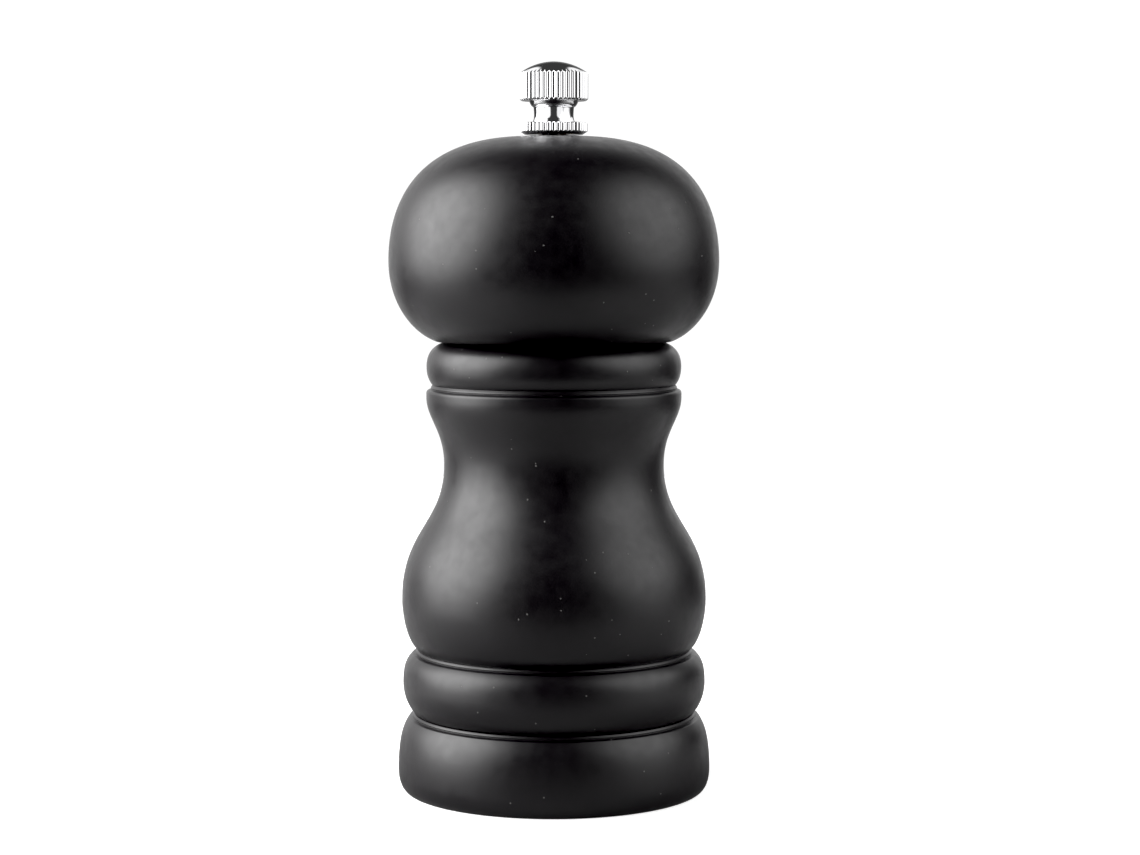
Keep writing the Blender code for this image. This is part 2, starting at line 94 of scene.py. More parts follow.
class Shading:
    """One material's node tree, with short names for the nodes that the finishes share."""

    def __init__(self, name: str) -> None:
        """Start a material with one Principled shader.

        Args:
            name: the material's name.
        """
        self.material = bpy.data.materials.new(name)
        self.material.use_nodes = True
        self.tree = self.material.node_tree
        self.shader = self.tree.nodes["Principled BSDF"]
        self.place = self.node("ShaderNodeTexCoord").outputs["Object"]

    def node(self, kind: str, **settings: object) -> bpy.types.Node:
        """Add one node.

        Args:
            kind: the node's type name.
            settings: attributes of the node to set.

        Returns:
            The new node.
        """
        made = self.tree.nodes.new(kind)
        for name, value in settings.items():
            setattr(made, name, value)
        return made

    def link(self, source: bpy.types.NodeSocket, target: bpy.types.NodeSocket) -> None:
        """Join two sockets."""
        self.tree.links.new(source, target)

    def set(self, **values: object) -> None:
        """Set constants on the shader's own sockets, whose names are given with underscores.

        Args:
            values: socket name to value.
        """
        for name, value in values.items():
            self.shader.inputs[name.replace("_", " ")].default_value = value

    def stretched(self, stretch: Sequence[float]) -> bpy.types.NodeSocket:
        """Object coordinates scaled along each axis.

        Args:
            stretch: factor along X, Y and Z.

        Returns:
            The scaled coordinates.
        """
        mapping = self.node("ShaderNodeMapping")
        mapping.inputs["Scale"].default_value = stretch
        self.link(self.place, mapping.inputs["Vector"])
        return mapping.outputs["Vector"]

    def turned_place(self) -> bpy.types.NodeSocket:
        """Coordinates that wrap round the Z axis: angle, height and distance from the axis.

        Returns:
            A vector of angle as a share of a turn, height in metres and radius in metres.
        """
        parts = self.node("ShaderNodeSeparateXYZ")
        self.link(self.place, parts.inputs[0])
        angle = self.maths("ARCTAN2", parts.outputs["Y"], parts.outputs["X"])
        share = self.maths("DIVIDE", angle, TURN)
        flat = self.node("ShaderNodeCombineXYZ")
        self.link(parts.outputs["X"], flat.inputs["X"])
        self.link(parts.outputs["Y"], flat.inputs["Y"])
        reach = self.node("ShaderNodeVectorMath", operation="LENGTH")
        self.link(flat.outputs[0], reach.inputs[0])
        joined = self.node("ShaderNodeCombineXYZ")
        self.link(share, joined.inputs["X"])
        self.link(parts.outputs["Z"], joined.inputs["Y"])
        self.link(reach.outputs["Value"], joined.inputs["Z"])
        return joined.outputs[0]

    def maths(self, operation: str, first: object, second: object = 0.0) -> bpy.types.NodeSocket:
        """One Math node whose inputs are sockets or numbers.

        Args:
            operation: Blender's name of the operation.
            first: first input.
            second: second input.

        Returns:
            The result.
        """
        node = self.node("ShaderNodeMath", operation=operation)
        for socket, value in zip(node.inputs, (first, second)):
            if isinstance(value, bpy.types.NodeSocket):
                self.link(value, socket)
            else:
                socket.default_value = value
        return node.outputs[0]

    def noise(self, scale: float, detail: float = 3.0, roughness: float = 0.55,
              stretch: Sequence[float] = (1.0, 1.0, 1.0),
              place: bpy.types.NodeSocket | None = None) -> bpy.types.NodeSocket:
        """Smooth noise in object space.

        Args:
            scale: noise cells for each metre.
            detail: octaves.
            roughness: strength of the finer octaves.
            stretch: factor along each axis, below 1 to draw the noise out.
            place: coordinates to use in place of the object's own.

        Returns:
            The noise value, about 0.5 on average.
        """
        node = self.node("ShaderNodeTexNoise")
        node.inputs["Scale"].default_value = scale
        node.inputs["Detail"].default_value = detail
        node.inputs["Roughness"].default_value = roughness
        source = place
        if source is None:
            source = self.place if tuple(stretch) == (1.0, 1.0, 1.0) else self.stretched(stretch)
        self.link(source, node.inputs["Vector"])
        return node.outputs["Fac"]

    def between(self, value: bpy.types.NodeSocket, low: float, high: float,
                start: float = 0.3, end: float = 0.7) -> bpy.types.NodeSocket:
        """Map a value from start..end onto low..high, clamped.

        Args:
            value: the value to map.
            low: result at and below start.
            high: result at and above end.
            start: value that gives low.
            end: value that gives high.

        Returns:
            The mapped value.
        """
        node = self.node("ShaderNodeMapRange")
        self.link(value, node.inputs["Value"])
        node.inputs["From Min"].default_value = start
        node.inputs["From Max"].default_value = end
        node.inputs["To Min"].default_value = low
        node.inputs["To Max"].default_value = high
        return node.outputs["Result"]

    def specks(self, scale: float, size: float, rarity: float) -> bpy.types.NodeSocket:
        """Sparse tiny dots, such as dust in a lacquer film.

        Args:
            scale: cells for each metre.
            size: dot radius as a share of a cell.
            rarity: share of the cells that stay empty.

        Returns:
            1 on a dot and 0 elsewhere.
        """
        node = self.node("ShaderNodeTexVoronoi")
        node.inputs["Scale"].default_value = scale
        self.link(self.place, node.inputs["Vector"])
        dot = self.maths("LESS_THAN", node.outputs["Distance"], size)
        chosen = self.node("ShaderNodeSeparateColor")
        self.link(node.outputs["Color"], chosen.inputs[0])
        kept = self.maths("GREATER_THAN", chosen.outputs[0], rarity)
        return self.maths("MULTIPLY", dot, kept)

    def attribute(self, name: str) -> bpy.types.NodeSocket:
        """A value stored on the mesh's points."""
        return self.node("ShaderNodeAttribute", attribute_name=name).outputs["Fac"]

    def colours(self, value: bpy.types.NodeSocket,
                stops: Sequence[tuple[float, Sequence[float]]]) -> bpy.types.NodeSocket:
        """A colour ramp.

        Args:
            value: position on the ramp.
            stops: position and RGB colour of each stop.

        Returns:
            The colour.
        """
        node = self.node("ShaderNodeValToRGB")
        ramp = node.color_ramp
        while len(ramp.elements) < len(stops):
            ramp.elements.new(0.5)
        for element, (position, colour) in zip(ramp.elements, stops):
            element.position = position
            element.color = (*colour, 1.0)
        self.link(value, node.inputs["Fac"])
        return node.outputs["Color"]

    def mix(self, share: bpy.types.NodeSocket, first: bpy.types.NodeSocket,
            second: Sequence[float]) -> bpy.types.NodeSocket:
        """Blend a colour towards a fixed one.

        Args:
            share: 0 for the first colour, 1 for the second.
            first: first colour.
            second: second colour, RGB.

        Returns:
            The blended colour.
        """
        node = self.node("ShaderNodeMix", data_type="RGBA")
        self.link(share, node.inputs["Factor"])
        self.link(first, node.inputs["A"])
        node.inputs["B"].default_value = (*second, 1.0)
        return node.outputs["Result"]

    def bumps(self, layers: Iterable[tuple[bpy.types.NodeSocket, float, float]]) -> None:
        """Stack bump layers under the shader.

        Args:
            layers: height value, strength and depth in metres of each layer.
        """
        normal = None
        for height, strength, depth in layers:
            node = self.node("ShaderNodeBump")
            node.inputs["Strength"].default_value = strength
            node.inputs["Distance"].default_value = depth
            self.link(height, node.inputs["Height"])
            if normal is not None:
                self.link(normal, node.inputs["Normal"])
            normal = node.outputs["Normal"]
        self.link(normal, self.shader.inputs["Normal"])

    def paint(self, socket: str, value: bpy.types.NodeSocket) -> None:
        """Drive one of the shader's sockets."""
        self.link(value, self.shader.inputs[socket])


@dataclass(frozen=True)
class BlackLacquer:
    """Satin black lacquer on turned hardwood: soft peel, faint grain, dust and rubbed crests."""

    black: Colour = (0.0012, 0.0002, 0.0015)
    worn_black: Colour = (0.0019, 0.0008, 0.0020)
    dust: Colour = (0.11, 0.107, 0.104)
    satin: float = 0.39
    uneven: float = 0.045       # how far the satin strays either way
    rubbing: float = 0.05       # how much smoother a crest is, and how much rougher a hollow
    refraction: float = 1.5
    cloud_cells: float = 55.0   # cells for each metre, as in the next four
    satin_cells: float = 420.0
    peel_cells: float = 850.0
    grain_cells: float = 2600.0
    dust_cells: float = 700.0
    dust_size: float = 0.11     # radius of a speck as a share of its cell
    dust_rarity: float = 0.90   # share of the cells that hold no speck
    film: float = 0.00002       # depth of the peel, the grain and the rings, in metres

    def make(self) -> bpy.types.Material:
        """Build the material.

        Returns:
            The material.
        """
        s = Shading("black_lacquer")
        s.set(IOR=self.refraction)
        cloud = s.noise(self.cloud_cells, 4.0)
        grain = s.noise(self.grain_cells, 3.0, 0.6, (1.0, 1.0, 0.045))
        peel = s.noise(self.peel_cells, 2.0, 0.5)
        rings = s.noise(1.0, 3.0, 0.6, place=self._lathe_place(s))
        base = s.colours(cloud, [(0.35, self.black), (0.70, self.worn_black)])
        dots = s.specks(self.dust_cells, self.dust_size, self.dust_rarity)
        s.paint("Base Color", s.mix(dots, base, self.dust))
        rubbed = s.maths("MULTIPLY", s.attribute("crest"), s.between(cloud, 0.0, self.rubbing))
        settled = s.maths("MULTIPLY", s.attribute("hollow"), self.rubbing)
        satin = s.between(s.noise(self.satin_cells, 4.0), self.satin - self.uneven,
                          self.satin + self.uneven)
        rough = s.maths("SUBTRACT", s.maths("ADD", satin, settled), rubbed)
        s.paint("Roughness", s.maths("ADD", rough, s.maths("MULTIPLY", dots, 0.3)))
        s.bumps([(peel, 0.16, self.film), (grain, 0.17, self.film), (rings, 0.12, self.film),
                 (dots, 0.5, 1.5 * self.film)])
        return s.material

    def _lathe_place(self, s: Shading) -> bpy.types.NodeSocket:
        """Coordinates in which noise becomes fine level rings, as a lathe tool leaves them.

        Args:
            s: the material's nodes.

        Returns:
            The coordinates.
        """
        mapping = s.node("ShaderNodeMapping")
        mapping.inputs["Scale"].default_value = (1.5, 2400.0, 0.0)
        s.link(s.turned_place(), mapping.inputs["Vector"])
        return mapping.outputs["Vector"]


@dataclass(frozen=True)
class RawBeech:
    """Bare turned beech inside the bores: fine flecks, long grain and tool rings."""

    light: Colour = (0.56, 0.36, 0.20)
    dark: Colour = (0.38, 0.21, 0.10)
    fleck: Colour = (0.26, 0.13, 0.06)
    grain_cells: float = 900.0  # cells for each metre, as in the next two
    band_cells: float = 70.0
    fleck_cells: float = 1600.0
    grain_depth: float = 0.00006    # metres
    fleck_depth: float = 0.00005

    def make(self) -> bpy.types.Material:
        """Build the material.

        Returns:
            The material.
        """
        s = Shading("raw_beech")
        grain = s.noise(self.grain_cells, 5.0, 0.65, (1.0, 1.0, 0.03))
        bands = s.noise(self.band_cells, 3.0, 0.5, (1.0, 0.6, 0.15))
        tone = s.maths("ADD", s.maths("MULTIPLY", grain, 0.5), s.maths("MULTIPLY", bands, 0.5))
        wood = s.colours(tone, [(0.32, self.dark), (0.62, self.light)])
        fleck_noise = s.noise(self.fleck_cells, 2.0, 0.5, (1.0, 1.0, 0.12))
        flecks = s.between(fleck_noise, 0.0, 0.7, 0.62, 0.72)
        s.paint("Base Color", s.mix(flecks, wood, self.fleck))
        s.paint("Roughness", s.between(grain, 0.55, 0.75))
        s.bumps([(grain, 0.35, self.grain_depth), (flecks, 0.25, self.fleck_depth)])
        return s.material


@dataclass(frozen=True)
class BrightMetal:
    """Plated or polished metal with hairline scratches and slight smears."""

    name: str
    colour: Colour
    tarnish: Colour
    polish: float
    smear: float = 0.05
    scratch: float = 0.08
    scratch_depth: float = 0.00001  # metres
    cloud_cells: float = 240.0      # cells for each metre, as in the next three
    smear_cells: float = 380.0
    hair_cells: float = 1900.0
    cross_cells: float = 2500.0

    def make(self) -> bpy.types.Material:
        """Build the material.

        Returns:
            The material.
        """
        s = Shading(self.name)
        s.set(Metallic=1.0)
        cloud = s.noise(self.cloud_cells, 5.0, 0.6)
        s.paint("Base Color", s.colours(cloud, [(0.30, self.tarnish), (0.60, self.colour)]))
        hair = s.noise(self.hair_cells, 3.0, 0.7, (1.0, 1.0, 0.08))
        cross = s.noise(self.cross_cells, 2.0, 0.7, (0.05, 1.0, 1.0))
        smear = s.between(s.noise(self.smear_cells, 4.0), self.polish, self.polish + self.smear)
        dulled = s.between(hair, 0.0, self.smear * 0.6, 0.55, 0.75)
        s.paint("Roughness", s.maths("ADD", smear, dulled))
        s.bumps([(hair, self.scratch, self.scratch_depth),
                 (cross, self.scratch * 0.6, self.scratch_depth)])
        return s.material


@dataclass(frozen=True)
class WorkedSteel:
    """Rolled, cast or drawn metal: mottled tone, uneven gloss and a grained skin."""

    name: str
    colour: Colour
    shade: Colour
    gloss: tuple[float, float]  # roughness of its smoothest and its roughest places
    grain: float = 700.0        # cells for each metre
    draw: tuple[float, float, float] = (1.0, 1.0, 1.0)
    relief: float = 0.3
    depth: float = 0.00003      # metres

    def make(self) -> bpy.types.Material:
        """Build the material.

        Returns:
            The material.
        """
        s = Shading(self.name)
        s.set(Metallic=1.0)
        mottle = s.noise(self.grain * 0.35, 5.0, 0.65)
        skin = s.noise(self.grain * 2.2, 4.0, 0.7, self.draw)
        s.paint("Base Color", s.colours(mottle, [(0.32, self.shade), (0.62, self.colour)]))
        s.paint("Roughness", s.between(skin, *self.gloss))
        s.bumps([(skin, self.relief, self.depth), (mottle, self.relief * 0.5, self.depth)])
        return s.material


class Palette:
    """Every finish of the mill, built once and shared by the pieces that wear it."""

    def __init__(self) -> None:
        """Build all materials."""
        self.lacquer = BlackLacquer().make()
        self.beech = RawBeech().make()
        self.chrome = BrightMetal("chrome_plate", (0.86, 0.86, 0.87), (0.78, 0.78, 0.79),
                                  0.05).make()
        self.aluminium = WorkedSteel("drawn_aluminium", (0.66, 0.67, 0.68), (0.55, 0.56, 0.57),
                                     (0.30, 0.46), 900.0, (1.0, 1.0, 0.02), 0.25).make()
        self.burr = WorkedSteel("hardened_steel", (0.30, 0.30, 0.31), (0.19, 0.19, 0.20),
                                (0.34, 0.55), 1100.0).make()
        self.zinc = WorkedSteel("zinc_plate", (0.50, 0.51, 0.52), (0.37, 0.38, 0.40),
                                (0.32, 0.50), 600.0, (1.0, 0.25, 1.0), 0.18).make()
        self.spring = WorkedSteel("spring_wire", (0.50, 0.49, 0.47), (0.38, 0.37, 0.36),
                                  (0.18, 0.30), 1500.0, (1.0, 1.0, 0.4), 0.2).make()


# ---- outlines -----------------------------------------------------------------------------------

def bend(start: Point, leave: Point, arrive: Point, end: Point, steps: int = 48) -> list[Point]:
    """Points along one cubic curve, without its first point.

    Args:
        start: first point.
        leave: pull at the start, as a step from it.
        arrive: pull at the end, as a step from it.
        end: last point.
        steps: points to return.

    Returns:
        The points after the start, up to and with the end.
    """
    corners = np.array([start, np.add(start, leave), np.add(end, arrive), end], float)
    t = np.linspace(0.0, 1.0, steps + 1)[1:, None]
    s = 1.0 - t
    points = (s**3 * corners[0] + 3 * s * s * t * corners[1] + 3 * s * t * t * corners[2]
              + t**3 * corners[3])
    return [tuple(point) for point in points]


def soften(points: Sequence[Point], film: float, spacing: float = 0.03) -> np.ndarray:
    """Round every corner of an outline, as a film of lacquer or a polishing wheel does.

    Args:
        points: the outline, in order.
        film: how far the rounding reaches along the outline, in millimetres.
        spacing: distance between the returned points, in millimetres.

    Returns:
        An array of evenly spaced (radius, height) points.
    """
    outline = np.array(points, float)
    along = np.concatenate([[0.0], np.cumsum(np.hypot(*np.diff(outline, axis=0).T))])
    places = np.linspace(0.0, along[-1], max(8, int(along[-1] / spacing)))
    reach = int(3 * film / spacing) + 1
    weights = np.exp(-0.5 * (np.arange(-reach, reach + 1) * spacing / film) ** 2)
    weights /= weights.sum()
    smooth = []
    for column in range(2):
        value = np.interp(places, along, outline[:, column])
        before = 2 * value[0] - value[reach:0:-1]
        after = 2 * value[-1] - value[-2:-reach - 2:-1]
        smooth.append(np.convolve(np.concatenate([before, value, after]), weights, "valid"))
    return np.stack(smooth, axis=1)


def thin(points: np.ndarray, turn: float = math.radians(3.0), longest: float = 1.4) -> np.ndarray:
    """Keep only the points that an outline's shape needs.

    Args:
        points: evenly spaced outline.
        turn: most that the outline may turn between two kept points.
        longest: most that two kept points may be apart, in millimetres.

    Returns:
        The kept points, with both ends.
    """
    steps = np.diff(points, axis=0)
    heading = np.unwrap(np.arctan2(steps[:, 1], steps[:, 0]))
    kept = [0]
    turned = travelled = 0.0
    for index in range(1, len(points) - 1):
        turned += abs(heading[index] - heading[index - 1])
        travelled += float(np.hypot(*steps[index - 1]))
        if turned >= turn or travelled >= longest:
            kept.append(index)
            turned = travelled = 0.0
    kept.append(len(points) - 1)
    return points[kept]


class Outline:
    """An outline drawn as a pen would draw it, in millimetres of radius and height."""

    def __init__(self, radius: float, height: float) -> None:
        """Put the pen down."""
        self.points: list[Point] = [(radius, height)]

    def to(self, *corners: Point) -> "Outline":
        """Draw straight lines to some corners.

        Args:
            corners: the corners, in order.

        Returns:
            This outline.
        """
        self.points += corners
        return self

    def curve(self, leave: Point, arrive: Point, end: Point) -> "Outline":
        """Draw one cubic curve.

        Args:
            leave: pull at the start, as a step from it.
            arrive: pull at the end, as a step from it.
            end: last point.

        Returns:
            This outline.
        """
        self.points += bend(self.points[-1], leave, arrive, end)
        return self

    def rounded(self, film: float, turn: float = 3.0, longest: float = 1.4) -> np.ndarray:
        """Round the corners and keep the points that matter.

        Args:
            film: reach of the rounding, in millimetres.
            turn: most turning between kept points, in degrees.
            longest: most distance between kept points, in millimetres.

        Returns:
            The finished outline.
        """
        return thin(soften(self.points, film), math.radians(turn), longest)


def curvature(outline: np.ndarray) -> np.ndarray:
    """Signed bending of an outline at each point, in radians for each millimetre.

    Args:
        outline: (radius, height) points.

    Returns:
        One value for each point, positive where the outline turns left.
    """
    steps = np.diff(outline, axis=0)
    heading = np.unwrap(np.arctan2(steps[:, 1], steps[:, 0]))
    lengths = np.hypot(*steps.T)
    bending = np.zeros(len(outline))
    bending[1:-1] = np.diff(heading) / np.maximum(0.5 * (lengths[1:] + lengths[:-1]), 1e-6)
    return bending


# ---- meshes -------------------------------------------------------------------------------------

def finish_mesh(mesh: bpy.types.Mesh, sharp: float = 32.0) -> None:
    """Shade a mesh smooth, with a crease wherever faces meet at more than an angle.

    Args:
        mesh: the mesh.
        sharp: that angle, in degrees.
    """
    mesh.shade_smooth()
    mesh.set_sharp_from_angle(angle=math.radians(sharp))


def place_piece(name: str, mesh: bpy.types.Mesh,
                *materials: bpy.types.Material) -> bpy.types.Object:
    """Link a mesh into the scene as one piece.

    Args:
        name: the piece's name.
        mesh: its mesh.
        materials: its materials, in slot order.

    Returns:
        The new object.
    """
    for material in materials:
        mesh.materials.append(material)
    piece = bpy.data.objects.new(name, mesh)
    bpy.context.scene.collection.objects.link(piece)
    return piece


def close_mesh(name: str, points: np.ndarray, faces: list[list[int]]) -> bpy.types.Mesh:
    """Make a mesh in metres with every face pointing outwards.

    Args:
        name: the mesh's name.
        points: corners in millimetres.
        faces: corner numbers of each face.

    Returns:
        The mesh.
    """
    mesh = bpy.data.meshes.new(name)
    mesh.from_pydata((points * MM).tolist(), [], faces)
    shape = bmesh.new()
    shape.from_mesh(mesh)
    bmesh.ops.recalc_face_normals(shape, faces=shape.faces)
    shape.to_mesh(mesh)
    shape.free()
    return mesh


def skin(name: str, rows: np.ndarray, ring: bool) -> bpy.types.Mesh:
    """Skin rows of points, each of which is a closed loop.

    Args:
        name: the mesh's name.
        rows: rows by columns by XYZ, in millimetres.
        ring: join the last row to the first. Otherwise a fan closes each end.

    Returns:
        A closed mesh in metres, with its row faces first.
    """
    count, columns = rows.shape[:2]
    row = np.arange(count if ring else count - 1)[:, None]
    near, far = row * columns, (row + 1) % count * columns
    here = np.arange(columns)[None, :]
    after = (here + 1) % columns
    faces = np.stack([near + here, near + after, far + after, far + here], axis=2)
    faces = faces.reshape(-1, 4).tolist()
    points = rows.reshape(-1, 3)
    if not ring:
        for end in (0, count - 1):
            centre = len(points)
            points = np.vstack([points, rows[end].mean(axis=0)])
            faces += [[end * columns + i, end * columns + (i + 1) % columns, centre]
                      for i in range(columns)]
    return close_mesh(name, points, faces)


def round_rows(outline: np.ndarray, columns: int, reach: Reach | None = None) -> np.ndarray:
    """Carry an outline round the Z axis.

    Args:
        outline: (radius, height) points.
        columns: points round the axis.
        reach: radius at each angle, from angles, radius and height. A circle if left out.

    Returns:
        Rows by columns by XYZ.
    """
    angles = np.arange(columns) * TURN / columns
    rows = np.empty((len(outline), columns, 3))
    for row, (radius, height) in zip(rows, outline):
        distance = np.full(columns, radius) if reach is None else reach(angles, radius, height)
        row[:, 0] = distance * np.cos(angles)
        row[:, 1] = distance * np.sin(angles)
        row[:, 2] = height
    return rows


def turned_wood(name: str, outline: np.ndarray, raw: Callable[[float, float], bool],
                palette: Palette, columns: int = 192) -> bpy.types.Object:
    """A turned wooden piece, lacquered outside and bare in its bores.

    Its points remember where the outline is hollow and where it is proud, for the lacquer.

    Args:
        name: the piece's name.
        outline: closed section of (radius, height) points, counter-clockwise.
        raw: tells whether the wood is bare at a radius and height.
        palette: the finishes.
        columns: points round the axis.

    Returns:
        The new piece.
    """
    mesh = skin(name, round_rows(outline, columns), ring=True)
    bending = curvature(outline)
    for attribute, value in (("hollow", -bending), ("crest", bending)):
        layer = mesh.attributes.new(attribute, "FLOAT", "POINT")
        layer.data.foreach_set("value", np.repeat(np.clip(value, 0.0, 1.0), columns)
                               .astype(np.float32))
    middles = 0.5 * (outline + np.roll(outline, -1, axis=0))
    slots = [int(raw(radius, height)) for radius, height in middles]
    mesh.polygons.foreach_set("material_index", np.repeat(slots, columns).astype(np.int32))
    finish_mesh(mesh)
    return place_piece(name, mesh, palette.lacquer, palette.beech)


def cut(piece: bpy.types.Object, *cutters: bpy.types.Object, sharp: float = 32.0) -> None:
    """Cut other meshes out of a piece, then throw the cutters away.

    Args:
        piece: the piece to cut.
        cutters: closed meshes.
        sharp: crease angle of the result, in degrees.
    """
    for cutter in cutters:
        modifier = piece.modifiers.new("cut", "BOOLEAN")
        modifier.operation = "DIFFERENCE"
        modifier.solver = "EXACT"
        modifier.object = cutter
    graph = bpy.context.evaluated_depsgraph_get()
    graph.update()
    mesh = bpy.data.meshes.new_from_object(piece.evaluated_get(graph), depsgraph=graph)
    piece.modifiers.clear()
    piece.data = mesh
    for cutter in cutters:
        bpy.data.objects.remove(cutter)
    finish_mesh(mesh, sharp)


def cutter(name: str, mesh: bpy.types.Mesh) -> bpy.types.Object:
    """Link a mesh that only cuts."""
    return place_piece(name, mesh)


def drill(radius: float, x: float, y: float, low: float, high: float, ease: float = 0.15,
          steps: int = 48) -> bpy.types.Object:
    """An upright round cutter that eases the rims of the hole it leaves.

    Args:
        radius: hole radius.
        x: place of the hole.
        y: place of the hole.
        low: lower face of the piece that is cut.
        high: upper face of the piece that is cut.
        ease: chamfer on both rims.
        steps: facets round the hole.

    Returns:
        The cutter.
    """
    over = 0.4                  # how far it stands out of the piece
    outline = np.array([(radius + ease + over, low - over), (radius, low + ease),
                        (radius, high - ease), (radius + ease + over, high + over)])
    rows = round_rows(outline, steps)
    rows[:, :, 0] += x
    rows[:, :, 1] += y
    return cutter("drill", skin("drill", rows, ring=False))


def screw_places(count: int, circle: float, first: float) -> list[Point]:
    """Evenly spaced places round the axis.

    Args:
        count: how many.
        circle: radius of their circle.
        first: angle of the first, in degrees.

    Returns:
        X and Y of each place.
    """
    angles = [math.radians(first) + TURN * i / count for i in range(count)]
    return [(circle * math.cos(a), circle * math.sin(a)) for a in angles]


@dataclass
class Assembly:
    """What every sub-assembly shares: the finishes, and how a piece is handed to the frame."""

    palette: Palette

    def hand_over(self, piece: bpy.types.Object, body: Body, slot: Slot, node: str) -> None:
        """Ride a piece on its body in place of its frame node.

        Args:
            piece: the piece.
            body: the body it rides on.
            slot: the record's material slot; not used.
            node: the frame node that it replaces.
        """
        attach(piece, body.value)
        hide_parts(node)
        REPORT.info("%s: %d faces, rides on %s", piece.name, len(piece.data.polygons), body.value)


# ---- turned wood --------------------------------------------------------------------------------

@dataclass
class TurnedBody(Assembly):
    """Lacquered body: foot, two grooves round a bead, waist, shoulder and collar, bored through."""

    film: float = 0.09
    base: float = 26.4          # radius of the ring that the mill stands on
    foot: Point = (28.0, 3.8)
    low_groove: Point = (25.2, 14.05)
    middle_bead: Point = (27.1, 19.5)
    high_groove: Point = (24.52, 25.40)
    bulge: Point = (27.25, 34.4)
    waist: Point = (19.65, 58.5)
    shoulder: Point = (22.78, 70.6)
    neck_groove: Point = (21.74, 72.72)
    collar: Point = (22.72, 76.1)
    rim: Point = (20.0, 80.2)
    recess: Point = (20.5, 10.6)
    pocket: Point = (15.2, 20.8)
    chamber: float = 14.0
    easing: float = 0.8
    low_lip: Point = (0.84, -0.90)      # step from a groove to the lip under it
    high_lip: Point = (0.95, -0.86)
    neck_lip: Point = (0.74, -0.86)
    low_cut: float = 0.45               # how far a groove is cut in above its list
    high_cut: float = 0.20
    neck_cut: float = 0.10
    list_steps: tuple[Point, ...] = ((0.14, -0.66), (0.28, -0.46), (0.0, -0.04))
    list_cover: Point = (0.06, 0.16)
    lacquer_edge: float = 0.9           # the lacquer ends at this height inside the foot
    bare_wall: float = 1.6              # bare wood reaches this far out from the chamber

    def outline(self) -> np.ndarray:
        """The body's whole section, outside and bore.

        Returns:
            The finished outline.
        """
        seam = self.recess[0] - 2.5
        pen = Outline(seam, self.recess[1])
        pen.to(self.recess, (self.recess[0], 0.0), (self.base, 0.0))
        pen.curve((0.4, 0.0), (0.0, -3.0), self.foot)
        pen.curve((0.0, 6.4), (0.85, -1.25), self.beside(self.low_groove, self.low_lip))
        self.quirk(pen, self.low_groove, self.low_cut)
        pen.curve((1.45, 1.8), (0.0, -1.6), self.middle_bead)
        pen.curve((0.0, 3.1), (1.0, -0.95), self.beside(self.high_groove, self.high_lip))
        self.quirk(pen, self.high_groove, self.high_cut)
        pen.curve((1.85, 1.5), (0.0, -2.8), self.bulge)
        pen.curve((0.0, 12.4), (0.0, -10.6), self.waist)
        pen.curve((0.0, 6.2), (0.0, -3.9), self.shoulder)
        pen.curve((0.0, 1.1), (0.3, -0.25), self.beside(self.neck_groove, self.neck_lip))
        self.quirk(pen, self.neck_groove, self.neck_cut)
        pen.curve((0.5, 0.75), (0.0, -1.7), self.collar)
        pen.curve((0.0, 2.2), (1.6, -0.6), self.rim)
        pen.to((self.chamber + self.easing, self.rim[1]), (self.chamber, self.rim[1] - self.easing),
               (self.chamber, self.pocket[1]), self.pocket, (self.pocket[0], self.recess[1]),
               (seam - 0.05, self.recess[1]))
        return pen.rounded(self.film, 2.5, 1.0)

    def beside(self, groove: Point, step: Point) -> Point:
        """A point that is a step out and up from a groove."""
        return groove[0] + step[0], groove[1] + step[1]

    def quirk(self, pen: Outline, groove: Point, depth: float) -> None:
        """Draw the small list in a groove, with the nick under it and the cut behind it.

        Args:
            pen: the outline, which has come up to the groove's lower lip.
            groove: the top of the list, under the wood that overhangs it.
            depth: how far the cut above the list goes in behind it.
        """
        steps = (*self.list_steps, (-depth, 0.05), self.list_cover)
        pen.to(*(self.beside(groove, step) for step in steps))

    def raw(self, radius: float, height: float) -> bool:
        """Whether the wood is bare at a place on the outline.

        Args:
            radius: the place's distance from the axis.
            height: its height.

        Returns:
            True where the wood is bare.
        """
        in_recess = (radius < self.recess[0] + 0.1
                     and self.lacquer_edge < height < self.recess[1] + 0.2)
        return in_recess or radius < self.chamber + self.bare_wall

    def build(self) -> None:
        """Turn the body and hand it over."""
        body = turned_wood("turned_body", self.outline(), self.raw, self.palette)
        self.hand_over(body, Body.MILL, Slot.WOOD, "mill_body")


